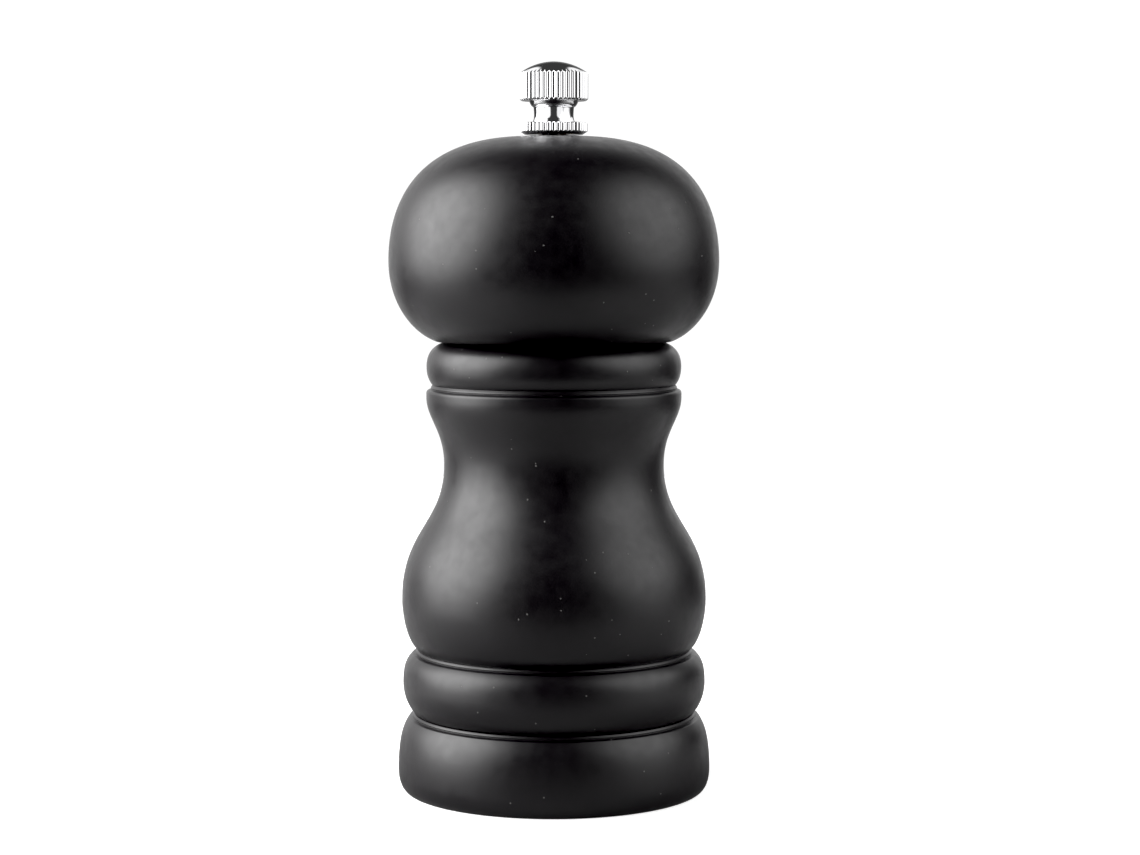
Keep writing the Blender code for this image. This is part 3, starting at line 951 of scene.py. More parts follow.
@dataclass
class TurnedHead(Assembly):
    """Lacquered ball head with a bare spigot that fits the body's bore."""

    film: float = 0.16
    bottom: float = 80.5
    lip: float = 21.0
    widest: Point = (29.4, 94.8)
    top: float = 116.8
    flat: float = 6.3
    bore: float = 4.2
    spigot: float = 13.6
    spigot_bottom: float = 71.9
    spigot_chamfer: float = 0.6

    def outline(self) -> np.ndarray:
        """The head's whole section, ball and bore.

        Returns:
            The finished outline.
        """
        seam = self.spigot_bottom + 4.0
        pen = Outline(self.spigot, seam).to((self.spigot, self.bottom), (self.lip, self.bottom))
        pen.curve((4.3, 1.6), (0.0, -7.5), self.widest)
        pen.curve((0.0, 10.2), (18.2, -0.5), (self.flat, self.top))
        pen.to((self.bore, self.top), (self.bore, self.spigot_bottom),
               (self.spigot - self.spigot_chamfer, self.spigot_bottom),
               (self.spigot, self.spigot_bottom + self.spigot_chamfer), (self.spigot, seam - 0.05))
        return pen.rounded(self.film, 2.5, 1.0)

    def raw(self, radius: float, height: float) -> bool:
        """Whether the wood is bare at a radius and height."""
        on_spigot = radius < self.spigot + 0.5 and height < self.bottom + 0.1
        return on_spigot or radius < self.bore + 0.3

    def build(self) -> None:
        """Turn the head and hand it over."""
        head = turned_wood("turned_head", self.outline(), self.raw, self.palette)
        self.hand_over(head, Body.HEAD, Slot.WOOD, "head")


# ---- adjusting nut ------------------------------------------------------------------------------

@dataclass
class KnurledNut(Assembly):
    """Chrome nut: knurled collar, waisted neck and knurled domed knob on a blind threaded bore."""

    film: float = 0.05
    teeth: int = 44
    flank: float = 0.20         # half the width of the groove between two crowns
    groove_slope: float = 45.0  # degrees
    knurl_zone: float = 1.2     # the knurl stays this close to the crowns
    steps_per_tooth: int = 16
    bore: float = 2.75
    bore_top: float = 127.3
    thread_depth: float = 0.13
    thread_pitch: float = 0.8
    collar: float = 6.03
    collar_low: float = 117.1
    collar_high: float = 119.25
    collar_chamfer: Point = (0.90, 0.62)
    collar_edge: Point = (0.30, 0.22)
    disc: float = 3.75
    waist: Point = (3.5, 120.5)
    neck: Point = (3.58, 121.9)
    bowl: float = 4.35
    knob: float = 6.12
    knob_low: float = 123.05
    knob_high: float = 127.85
    top: float = 130.0
    chamfer: float = 0.38
    blend: float = 0.035

    def outline(self) -> np.ndarray:
        """Half of the nut's section, from the top of its bore round to the tip of its dome.

        Returns:
            The finished outline, as a limit that the teeth are cut back to.
        """
        pen = Outline(0.05, self.bore_top).to((self.bore, self.bore_top))
        for ridge in range(int((self.bore_top - self.collar_low - 1.0) / self.thread_pitch)):
            level = self.bore_top - 0.6 - ridge * self.thread_pitch
            pen.to((self.bore, level),
                   (self.bore - self.thread_depth, level - 0.35 * self.thread_pitch),
                   (self.bore, level - 0.7 * self.thread_pitch))
        pen.to((self.bore, self.collar_low),
               (self.collar - self.collar_chamfer[0], self.collar_low),
               (self.collar, self.collar_low + self.collar_chamfer[1]),
               (self.collar, self.collar_high - self.collar_edge[1]),
               (self.collar - self.collar_edge[0], self.collar_high),
               (self.disc, self.collar_high), (self.disc, self.collar_high + 0.15))
        pen.curve((-0.15, 0.2), (0.0, -0.4), self.waist)
        pen.curve((0.0, 0.6), (-0.02, -0.5), self.neck)
        pen.curve((0.45, 0.22), (-0.10, -0.45), (self.bowl, self.knob_low))
        clear = self.knob + 0.02    # just outside the knurl, which is cut back to its own shape
        pen.to((self.knob - self.chamfer, self.knob_low), (clear, self.knob_low + self.chamfer),
               (clear, self.knob_high))
        pen.curve((-1.1, 0.95), (2.6, 0.0), (0.05, self.top))
        return thin(soften(pen.points, self.film, 0.015), math.radians(7.0), 0.42)

    def reach(self, angles: np.ndarray, radius: float, height: float) -> np.ndarray:
        """Cut the section's limit back to the knurl wherever the teeth stand further out.

        Args:
            angles: angles round the axis.
            radius: the limit at this height.
            height: height on the nut.

        Returns:
            Radius at each angle.
        """
        crest = self.collar if height < self.waist[1] else self.knob
        if radius < crest - self.knurl_zone:
            return np.full_like(angles, radius)
        half = crest * TURN / self.teeth / 2.0
        aside = np.abs((angles * self.teeth / TURN + 0.5) % 1.0 - 0.5) * 2.0 * half
        arc = (half - self.flank) / math.sin(math.radians(self.groove_slope))
        off_crown = np.minimum(half - aside, half - self.flank)
        crown = arc - np.sqrt(np.maximum(arc**2 - off_crown**2, 0.0))
        knurl = crest - crown - np.maximum(self.flank - aside, 0.0)
        nearer = np.minimum(knurl, radius)
        gap = np.maximum(self.blend - np.abs(knurl - radius), 0.0) / self.blend
        return nearer - gap * gap * self.blend / 4.0

    def build(self) -> None:
        """Knurl the nut and hand it over."""
        rows = round_rows(self.outline(), self.teeth * self.steps_per_tooth, self.reach)
        mesh = skin("knurled_nut", rows, ring=False)
        finish_mesh(mesh, 40.0)
        nut = place_piece("knurled_nut", mesh, self.palette.chrome)
        self.hand_over(nut, Body.NUT, Slot.CHROME, "adjusting_nut")


# ---- screws -------------------------------------------------------------------------------------

@dataclass
class PanScrew(Assembly):
    """Pan-head wood screw with a cross recess, standing head down."""

    shank: float = 1.1
    head: float = 2.2
    head_height: float = 1.2
    pitch: float = 0.9
    thread: float = 0.28
    recess_reach: float = 1.25
    recess_width: float = 0.46
    recess_depth: float = 0.75
    point: float = 2.4          # length of the tapered tip

    def outline(self, head_bottom: float, tip: float) -> np.ndarray:
        """Half of the screw's section, from the recess to the point.

        Args:
            head_bottom: lowest height of the head.
            tip: height of the point.

        Returns:
            The finished outline.
        """
        pen = Outline(0.05, head_bottom)
        pen.curve((1.2, 0.0), (0.0, -0.62), (self.head, head_bottom + self.head_height - 0.12))
        head_top = head_bottom + self.head_height
        pen.to((self.head, head_top), (self.shank + 0.2, head_top), (self.shank, head_top + 0.2),
               (self.shank, tip - self.point), (0.05, tip))
        return thin(soften(pen.points, 0.05, 0.02), math.radians(9.0), 0.22)

    def cross(self, head_bottom: float) -> bpy.types.Object:
        """A tapered cross that cuts the recess.

        Args:
            head_bottom: lowest height of the head.

        Returns:
            The cutter.
        """
        rows = []
        for height, shrink in ((head_bottom - 0.3, 1.25), (head_bottom + self.recess_depth, 0.45)):
            far, near = self.recess_reach * shrink, self.recess_width * 0.5 * (0.6 + 0.4 * shrink)
            quarter = [(far, -near), (far, near), (near, near)]
            loop = []
            for turn in range(4):
                c, s = (1, 0, -1, 0)[turn], (0, 1, 0, -1)[turn]
                loop += [(c * x - s * y, s * x + c * y, height) for x, y in quarter]
            rows.append(loop)
        return cutter("cross", skin("cross", np.array(rows), ring=False))

    def reach(self, head_top: float, tip: float) -> Reach:
        """How far the thread stands off the shank.

        Args:
            head_top: height where the shank starts.
            tip: height of the point.

        Returns:
            A function of angles, radius and height.
        """
        def threaded(angles: np.ndarray, radius: float, height: float) -> np.ndarray:
            """Radius of the thread at each angle.

            Args:
                angles: angles round the axis.
                radius: the outline's radius.
                height: its height.

            Returns:
                The radii.
            """
            if not head_top + 0.5 < height < tip - 0.4:
                return np.full_like(angles, radius)
            phase = (height / self.pitch - angles / TURN) % 1.0
            depth = self.thread * min(1.0, radius / self.shank)
            return radius - depth * (1.0 - np.maximum(0.0, 1.0 - np.abs(phase - 0.5) * 5.0))
        return threaded

    def build(self, name: str, node: str, body: Body, place: Point, head_bottom: float, tip: float,
              turned_by: float) -> None:
        """Make one screw and hand it over.

        Args:
            name: the piece's name.
            node: the frame node that it replaces.
            body: the body it rides on.
            place: X and Y of its axis.
            head_bottom: lowest height of its head.
            tip: height of its point.
            turned_by: how far its recess has been turned, in degrees.
        """
        reach = self.reach(head_bottom + self.head_height, tip)
        mesh = skin(name, round_rows(self.outline(head_bottom, tip), 48, reach), ring=False)
        screw = place_piece(name, mesh, self.palette.zinc)
        cut(screw, self.cross(head_bottom), sharp=38.0)
        move = Matrix.Translation((place[0] * MM, place[1] * MM, 0.0))
        screw.data.transform(move @ Matrix.Rotation(math.radians(turned_by), 4, "Z"))
        self.hand_over(screw, body, Slot.ZINC, node)


# ---- grinder ------------------------------------------------------------------------------------

@dataclass
class Burrs(Assembly):
    """Steel grinding ring in the body and toothed cone on the rod."""

    teeth: int = 24
    fine_teeth: int = 96
    depth: float = 0.7
    fine_depth: float = 0.22
    fine_share: float = 0.45    # how much shallower the coarse teeth are beside the fine ones
    slope_share: float = 0.78   # share of a tooth that is its long slope
    back_share: float = 0.22    # share of a tooth that is its steep back
    ring_fine_top: float = 13.6
    cone_fine_top: float = 13.8
    twist: float = 2.4
    ring_radius: float = 14.9
    ring_low: float = 10.6
    ring_high: float = 20.5
    cone_radius: float = 11.2
    cone_low: float = 10.8
    cone_high: float = 21.5
    hole_side: float = 5.6

    def tooth(self, angles: np.ndarray, height: float, low: float, twist: float,
              fine_top: float) -> np.ndarray:
        """Depth cut away between the teeth.

        Args:
            angles: angles round the axis.
            height: height on the burr.
            low: height where the twist starts.
            twist: turn of the teeth in degrees for each millimetre.
            fine_top: the fine teeth end at this height.

        Returns:
            Depth at each angle.
        """
        turned = angles - math.radians(twist) * (height - low)
        coarse = (turned * self.teeth / TURN) % 1.0
        blade = np.where(coarse < self.slope_share, coarse / self.slope_share,
                         (1.0 - coarse) / self.back_share)
        fine = np.abs((turned * self.fine_teeth / TURN) % 1.0 - 0.5) * 2.0
        share = min(max((fine_top - height) / 0.8, 0.0), 1.0)
        return self.depth * (1.0 - self.fine_share * share) * blade + self.fine_depth * share * fine

    def square(self, angles: np.ndarray) -> np.ndarray:
        """Reach of the cone's square hole at each angle."""
        return self.hole_side / 2 / np.maximum(np.abs(np.cos(angles)), np.abs(np.sin(angles)))

    def build_ring(self) -> None:
        """Make the outer burr."""
        bore = [(14.25, self.ring_high), (11.2, 17.6), (11.9, 14.0), (12.5, self.ring_low)]
        pen = Outline(13.2, self.ring_low)
        pen.to((self.ring_radius - 0.3, self.ring_low), (self.ring_radius, self.ring_low + 0.3),
               (self.ring_radius, self.ring_high - 0.2), (self.ring_radius - 0.2, self.ring_high),
               *bore, (13.15, self.ring_low))
        outline = pen.rounded(0.06, 12.0, 0.5)

        def toothed(angles: np.ndarray, radius: float, height: float) -> np.ndarray:
            """Radius of the ring at each angle, with teeth in its bore.

            Args:
                angles: angles round the axis.
                radius: the outline's radius.
                height: its height.

            Returns:
                The radii.
            """
            if radius > 13.6 or height > self.ring_high - 0.25 or height < self.ring_low + 0.05:
                return np.full_like(angles, radius)
            fade = min(1.0, (self.ring_high - height) / 1.6)
            cut_back = self.tooth(angles, height, self.ring_low, self.twist, self.ring_fine_top)
            return radius - fade * (self.depth - cut_back) * 0.95

        mesh = skin("burr_ring", round_rows(outline, self.teeth * 12, toothed), ring=True)
        finish_mesh(mesh, 28.0)
        ring = place_piece("burr_ring", mesh, self.palette.burr)
        self.hand_over(ring, Body.MILL, Slot.BURR, "outer_burr")

    def build_cone(self) -> None:
        """Make the inner burr."""
        half = self.hole_side / 2
        pen = Outline(half + 2.0, self.cone_low)
        pen.to((self.cone_radius - 0.2, self.cone_low), (self.cone_radius, self.cone_low + 0.2),
               (self.cone_radius, 11.8), (10.0, 15.0), (8.6, 17.6), (5.4, self.cone_high - 0.1),
               (5.2, self.cone_high), (half, self.cone_high), (half, self.cone_low),
               (half + 1.95, self.cone_low))
        outline = pen.rounded(0.06, 12.0, 0.5)

        def toothed(angles: np.ndarray, radius: float, height: float) -> np.ndarray:
            """Radius of the cone at each angle: teeth outside, a square hole inside.

            Args:
                angles: angles round the axis.
                radius: the outline's radius.
                height: its height.

            Returns:
                The radii.
            """
            if radius < half + 0.1:
                return self.square(angles)
            if radius < 4.6 or height > self.cone_high - 0.05 or height < self.cone_low + 0.05:
                if radius < half + 1.2:
                    return np.maximum(self.square(angles), np.full_like(angles, radius))
                return np.full_like(angles, radius)
            fade = min(1.0, (self.cone_high - height) / 2.0)
            return radius - fade * self.tooth(angles, height, self.cone_low, -self.twist,
                                              self.cone_fine_top)

        mesh = skin("burr_cone", round_rows(outline, self.teeth * 12, toothed), ring=True)
        finish_mesh(mesh, 28.0)
        cone = place_piece("burr_cone", mesh, self.palette.burr)
        self.hand_over(cone, Body.SHAFT, Slot.BURR, "inner_burr")

    def build(self) -> None:
        """Make both burrs."""
        self.build_ring()
        self.build_cone()


@dataclass
class GrinderMount(Assembly):
    """What holds the grinder up in the body: retaining ring, bent crossbar and their screws."""

    ring_hole: float = 12.4
    ring_radius: float = 20.1
    ring_low: float = 9.3
    ring_high: float = 10.3
    circle: float = 17.9
    screw_hole: float = 1.4
    rod_hole: float = 2.4
    bar_width: float = 9.0
    bar_thickness: float = 1.2
    bar_end_top: float = 9.0
    bar_middle_top: float = 3.7
    bar_half: float = 20.0
    middle_half: float = 8.5
    shoulder_half: float = 13.6
    end_round: float = 3.0
    bend_ease: float = 1.1      # reach of each bend's rounding
    edge_ease: float = 0.16     # rounding of the bar's long edges
    gap: float = 0.3            # air over each screw's head
    screw_tip: float = 17.0

    def build_ring(self) -> None:
        """Make the retaining ring."""
        pen = Outline(self.ring_hole + 2.0, self.ring_low)
        pen.to((self.ring_radius, self.ring_low), (self.ring_radius, self.ring_high),
               (self.ring_hole, self.ring_high), (self.ring_hole, self.ring_low),
               (self.ring_hole + 1.95, self.ring_low))
        mesh = skin("retaining_ring", round_rows(pen.rounded(0.09, 15.0, 2.5), 192), ring=True)
        ring = place_piece("retaining_ring", mesh, self.palette.zinc)
        holes = screw_places(4, self.circle, 0.0)
        cut(ring, *(drill(self.screw_hole, x, y, self.ring_low, self.ring_high) for x, y in holes))
        self.hand_over(ring, Body.MILL, Slot.ZINC, "burr_retainer")

    def bar_level(self, along: float) -> float:
        """Height of the crossbar's upper face, with eased bends.

        Args:
            along: distance from the middle.

        Returns:
            The height.
        """
        far = abs(along)
        ease = self.bend_ease
        slope = (self.bar_end_top - self.bar_middle_top) / (self.shoulder_half - self.middle_half)

        def ramp(start: float) -> float:
            """A line that starts to rise at a place, with a rounded corner.

            Args:
                start: the place, as a distance from the middle.

            Returns:
                How far the line has risen.
            """
            t = (far - start) / ease
            if abs(t) >= 6:
                return max(far - start, 0.0)
            return ease * (0.5 * t + 0.5 * math.sqrt(t * t + 0.35))

        return self.bar_middle_top + slope * (ramp(self.middle_half) - ramp(self.shoulder_half))

    def build_bar(self) -> None:
        """Make the bent crossbar and drill it."""
        places = np.concatenate([np.linspace(0.0, 2.9, 12), np.linspace(3.1, self.bar_half, 64)])
        places = np.concatenate([-places[:0:-1], places])
        rim = [(math.cos(a), math.sin(a)) for a in np.radians(np.arange(0, 90, 22.5) + 11.25)]
        easing = self.edge_ease
        narrowest, step = 0.9, 0.02
        rows = []
        for along in places:
            past = max(abs(along) - (self.bar_half - self.end_round), 0.0)
            round_off = self.end_round - math.sqrt(max(self.end_round**2 - past**2, 0.0))
            half = max(self.bar_width / 2 - round_off, narrowest)
            rise = (self.bar_level(along + step) - self.bar_level(along - step)) / (2 * step)
            across = np.array([-rise, 1.0]) / math.hypot(rise, 1.0)
            end = 1.0 - 0.25 * (abs(along) > self.bar_half - 0.05)
            thick = self.bar_thickness * end
            middle = np.array([along, self.bar_level(along)]) - across * self.bar_thickness / 2
            loop = []
            for corner in range(4):
                y_side, t_side = ((1, 1), (-1, 1), (-1, -1), (1, -1))[corner]
                for c, s in (rim if corner % 2 == 0 else rim[::-1]):
                    y = y_side * (half - easing + easing * c)
                    t = t_side * (thick / 2 - easing + easing * s)
                    x, z = middle + across * t
                    loop.append((float(np.clip(x, -self.bar_half, self.bar_half)), y, z))
            rows.append(loop)
        mesh = skin("bent_crossbar", np.array(rows), ring=False)
        bar = place_piece("bent_crossbar", mesh, self.palette.zinc)
        low = self.bar_middle_top - self.bar_thickness
        end_low = self.bar_end_top - self.bar_thickness
        cut(bar, drill(self.rod_hole, 0.0, 0.0, low, self.bar_middle_top),
            *(drill(self.screw_hole, x, y, end_low, self.bar_end_top)
              for x, y in screw_places(2, self.circle, 0.0)))
        self.hand_over(bar, Body.MILL, Slot.ZINC, "crossbar")

    def build(self) -> None:
        """Make the ring, the bar and the four screws."""
        self.build_ring()
        self.build_bar()
        bar_head = self.bar_end_top - self.bar_thickness - self.gap - PanScrew.head_height
        ring_head = self.ring_low - self.gap - PanScrew.head_height
        screws = PanScrew(self.palette)
        right, back, left, front = screw_places(4, self.circle, 0.0)
        for name, node, head_bottom, pair in (
                ("bar_screw", "crossbar_screw", bar_head, ((left, 21.0), (right, -34.0))),
                ("ring_screw", "retainer_screw", ring_head, ((front, 62.0), (back, 8.0)))):
            for number, (place, turned_by) in enumerate(pair, start=1):
                screws.build(f"{name}_{number}", f"{node}_{number}", Body.MILL, place, head_bottom,
                             self.screw_tip, turned_by)


# ---- rod, washers and spring --------------------------------------------------------------------

@dataclass
class DriveShaft(Assembly):
    """Square rod with its thread, pivot and snap clip, two washers and the coil spring."""

    side: float = 5.0
    corner: float = 3.36
    bottom: float = 2.3
    square_low: float = 11.0
    square_high: float = 110.0
    top: float = 126.8
    pivot: float = 2.0
    groove: float = 1.5
    groove_low: float = 8.7
    groove_high: float = 9.9
    thread: float = 2.4
    thread_pitch: float = 0.8
    thread_depth: float = 0.42
    washer: float = 6.2
    washer_hole: float = 2.35
    washer_thickness: float = 0.6
    upper_washer_top: float = 10.5
    lower_washer_low: float = 4.0
    clip: float = 4.0
    clip_hole: float = 1.8
    clip_low: float = 9.0
    clip_opening: float = 70.0
    wire: float = 0.8
    coil: float = 5.1
    coil_low: float = 4.9
    coil_high: float = 9.6
    coil_turns: float = 3.0
    end_turns: float = 0.75     # nearly closed turns at each end of the coil
    end_pitch: float = 0.95
    squashed: float = 0.66      # the spring's length with the burrs closed, as a share

    def build_rod(self) -> None:
        """Make the rod: pivot and groove below, square stem, threaded end above."""
        ease = 0.25
        pen = Outline(0.05, self.bottom)
        pen.to((self.pivot - ease, self.bottom), (self.pivot, self.bottom + ease),
               (self.pivot, self.groove_low), (self.groove, self.groove_low),
               (self.groove, self.groove_high), (self.pivot, self.groove_high),
               (self.pivot, self.square_low), (self.side / 2 - 0.1, self.square_low),
               (self.corner, self.square_low + 0.8), (self.corner, self.square_high - 0.8),
               (self.side / 2 - 0.05, self.square_high))
        lower = thin(soften(pen.points, 0.05), math.radians(12.0), 4.0)
        levels = np.arange(self.square_high + 0.1, self.top - 0.45, self.thread_pitch / 8)
        upper = [(self.thread, level) for level in levels]
        upper += [(self.thread - 0.02, self.top - 0.45), (self.thread - 0.5, self.top),
                  (0.05, self.top)]

        def reach(angles: np.ndarray, radius: float, height: float) -> np.ndarray:
            """Radius of the rod at each angle: square, round or threaded.

            Args:
                angles: angles round the axis.
                radius: the outline's radius.
                height: its height.

            Returns:
                The radii.
            """
            if self.square_low < height < self.square_high:
                flat = self.side / 2 / np.maximum(np.abs(np.cos(angles)), np.abs(np.sin(angles)))
                return np.minimum(flat, radius)
            if self.square_high + 0.5 < height < self.top - 0.3:
                phase = (height / self.thread_pitch - angles / TURN) % 1.0
                fade = min(1.0, (height - self.square_high - 0.5) / 1.2)
                return radius - fade * self.thread_depth * np.abs(phase - 0.5) * 2.0
            return np.full_like(angles, radius)

        rows = round_rows(np.vstack([lower, np.array(upper)]), 96, reach)
        mesh = skin("square_rod", rows, ring=False)
        finish_mesh(mesh, 30.0)
        self.hand_over(place_piece("square_rod", mesh, self.palette.aluminium), Body.SHAFT,
                       Slot.ALUMINIUM, "drive_rod")

    def build_washer(self, name: str, node: str, body: Body, low: float) -> None:
        """Make one washer, with the rolled edge that stamping leaves.

        Args:
            name: the piece's name.
            node: the frame node that it replaces.
            body: the body it rides on.
            low: height of its lower face.
        """
        high = low + self.washer_thickness
        pen = Outline(self.washer - 1.5, low)
        pen.to((self.washer - 0.12, low), (self.washer, low + 0.12), (self.washer, high),
               (self.washer_hole, high), (self.washer_hole, low + 0.1),
               (self.washer_hole + 0.1, low), (self.washer - 1.55, low))
        mesh = skin(name, round_rows(pen.rounded(0.05, 12.0, 1.0), 96), ring=True)
        finish_mesh(mesh)
        self.hand_over(place_piece(name, mesh, self.palette.zinc), body, Slot.ZINC, node)

    def build_clip(self) -> None:
        """Make the open snap clip with three inner prongs."""
        half = math.radians(self.clip_opening / 2)
        angles = np.linspace(half, TURN - half, 97)
        high = self.clip_low + self.washer_thickness
        ease = 0.1
        prongs = (math.pi, half + 0.3, TURN - half - 0.3)
        rows = []
        for angle in angles:
            near_prong = min(abs(angle - p) for p in prongs)
            inner = self.clip_hole + 0.85 * min(max((near_prong - 0.32) / 0.25, 0.0), 1.0)
            end = min(angle - half, TURN - half - angle)
            outer = self.clip - 0.35 * max(1.0 - end / 0.12, 0.0)
            section = [(inner, self.clip_low + ease), (inner + ease, self.clip_low),
                       (outer - ease, self.clip_low), (outer, self.clip_low + ease),
                       (outer, high - ease), (outer - ease, high),
                       (inner + ease, high), (inner, high - ease)]
            rows.append([(r * math.cos(angle), r * math.sin(angle), z) for r, z in section])
        mesh = skin("snap_clip", np.array(rows), ring=False)
        finish_mesh(mesh, 30.0)
        clip = place_piece("snap_clip", mesh, self.palette.spring)
        self.hand_over(clip, Body.SHAFT, Slot.SPRING, "rod_clip")

    def build_spring(self) -> None:
        """Make the coil spring, with a flattened turn at each end."""
        steps, sides = 168, 20
        fat = self.wire / 2
        low, high = self.coil_low + fat, self.coil_high - fat
        ends = self.end_turns
        open_turns = self.coil_turns - 2 * ends
        open_pitch = (high - low - 2 * (ends * self.end_pitch)) / open_turns
        rows = []
        for step in range(steps + 1):
            turned = step / steps * self.coil_turns
            closed = min(turned, ends) + max(turned - self.coil_turns + ends, 0.0)
            level = low + self.end_pitch * closed
            level += open_pitch * min(max(turned - ends, 0.0), open_turns)
            angle = TURN * turned
            out = np.array([math.cos(angle), math.sin(angle), 0.0])
            centre = out * self.coil + np.array([0.0, 0.0, level])
            loop = []
            for side in range(sides):
                a = TURN * side / sides
                point = centre + fat * math.cos(a) * out + np.array([0.0, 0.0, fat * math.sin(a)])
                point[2] = min(max(point[2], self.coil_low), self.coil_high)
                loop.append(point)
            rows.append(loop)
        mesh = skin("coil_spring", np.array(rows), ring=False)
        finish_mesh(mesh, 40.0)
        spring = place_piece("coil_spring", mesh, self.palette.spring)
        self.hand_over(spring, Body.SPRING, Slot.SPRING, "burr_spring")
        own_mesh(spring)

    def build(self) -> None:
        """Make the rod and everything threaded on it."""
        self.build_rod()
        self.build_washer("rod_washer", "burr_washer", Body.SHAFT,
                          self.upper_washer_top - self.washer_thickness)
        self.build_washer("spring_washer", "spring_seat", Body.SPRING, self.lower_washer_low)
        self.build_clip()
        self.build_spring()


# ---- head fittings ------------------------------------------------------------------------------

@dataclass
class DrivePlate(Assembly):
    """Steel disc under the head whose square hole turns the rod, and its three screws."""

    radius: float = 12.8
    low: float = 70.6
    high: float = 71.6
    hole_side: float = 5.6
    circle: float = 9.0
    screw_hole: float = 1.4
    gap: float = 0.3            # air over each screw's head
    screw_tip: float = 78.0

    def build(self) -> None:
        """Make the disc and its screws."""
        half = self.hole_side / 2
        pen = Outline(self.radius - 3.0, self.low)
        pen.to((self.radius - 0.15, self.low), (self.radius, self.low + 0.15),
               (self.radius, self.high), (half, self.high), (half, self.low),
               (self.radius - 3.05, self.low))

        def reach(angles: np.ndarray, radius: float, height: float) -> np.ndarray:
            """Radius of the disc at each angle, with the square hole inside.

            Args:
                angles: angles round the axis.
                radius: the outline's radius.
                height: its height; not used.

            Returns:
                The radii.
            """
            square = half / np.maximum(np.abs(np.cos(angles)), np.abs(np.sin(angles)))
            if radius < half + 1.4:
                return np.maximum(square + (radius - half) * 0.5, radius)
            return np.full_like(angles, radius)

        mesh = skin("drive_disc", round_rows(pen.rounded(0.06, 14.0, 1.2), 144, reach), ring=True)
        disc = place_piece("drive_disc", mesh, self.palette.zinc)
        places = screw_places(3, self.circle, 30.0)
        cut(disc, *(drill(self.screw_hole, x, y, self.low, self.high) for x, y in places))
        self.hand_over(disc, Body.HEAD, Slot.ZINC, "drive_plate")
        screws = PanScrew(self.palette)
        head_bottom = self.low - self.gap - screws.head_height
        for number, (place, turned_by) in enumerate(zip(places, (12.0, -27.0, 48.0)), start=1):
            screws.build(f"disc_screw_{number}", f"drive_plate_screw_{number}", Body.HEAD, place,
                         head_bottom, self.screw_tip, turned_by)


# ---- studio -------------------------------------------------------------------------------------

NUT_ONLY = ("knurled_nut",)
WOOD_ONLY = ("turned_body", "turned_head")


@dataclass(frozen=True)
class Softbox:
    """One soft square light, placed by where the mill sees it."""

    name: str
    azimuth: float              # degrees to the right of the direction towards the camera
    elevation: float
    distance: float = 0.75      # metres
    width: float = 60.0         # degrees seen from the mill
    height: float = 60.0
    brightness: float = 8.0     # against a white of 1
    core: float = 0.25          # share of the light that is evenly bright
    only: tuple[str, ...] = ()  # names of the pieces that it lights, if it doesn't light all

    def place(self, target: Vector) -> None:
        """Hang the light.

        Args:
            target: the point that it faces.
        """
        azimuth, elevation = math.radians(self.azimuth), math.radians(self.elevation)
        away = Vector((math.sin(azimuth) * math.cos(elevation),
                       -math.cos(azimuth) * math.cos(elevation), math.sin(elevation)))
        lamp = bpy.data.lights.new(self.name, "AREA")
        lamp.shape = "RECTANGLE"
        lamp.size = 2 * self.distance * math.tan(math.radians(self.width / 2))
        lamp.size_y = 2 * self.distance * math.tan(math.radians(self.height / 2))
        lamp.energy = self.brightness * lamp.size * lamp.size_y * math.pi
        light = bpy.data.objects.new(self.name, lamp)
        light.location = target + away * self.distance
        light.rotation_euler = away.to_track_quat("Z", "Y").to_euler()
        light.visible_camera = False
        self.soften_edges(lamp)
        bpy.context.scene.collection.objects.link(light)
        if self.only:
            lit = bpy.data.collections.new(self.name + "_lit")
            for name in self.only:
                lit.objects.link(bpy.data.objects[name])
            light.light_linking.receiver_collection = lit

    def soften_edges(self, lamp: bpy.types.AreaLight) -> None:
        """Let the light fade from its bright middle towards its edges, as cloth over a lamp does.

        Args:
            lamp: the light.
        """
        lamp.use_nodes = True
        tree = lamp.node_tree
        place = tree.nodes.new("ShaderNodeNewGeometry").outputs["Parametric"]
        centred = tree.nodes.new("ShaderNodeVectorMath")
        centred.operation = "MULTIPLY_ADD"
        tree.links.new(place, centred.inputs[0])
        centred.inputs[1].default_value = (2.0, 2.0, 0.0)
        centred.inputs[2].default_value = (-1.0, -1.0, 0.0)
        length = tree.nodes.new("ShaderNodeVectorMath")
        length.operation = "LENGTH"
        tree.links.new(centred.outputs[0], length.inputs[0])
        fade = tree.nodes.new("ShaderNodeMapRange")
        fade.interpolation_type = "SMOOTHSTEP"
        fade.inputs["From Min"].default_value = self.core
        fade.inputs["From Max"].default_value = 1.0
        fade.inputs["To Min"].default_value = 1.0
        fade.inputs["To Max"].default_value = 0.0
        tree.links.new(length.outputs["Value"], fade.inputs["Value"])
        tree.links.new(fade.outputs["Result"], tree.nodes["Emission"].inputs["Strength"])


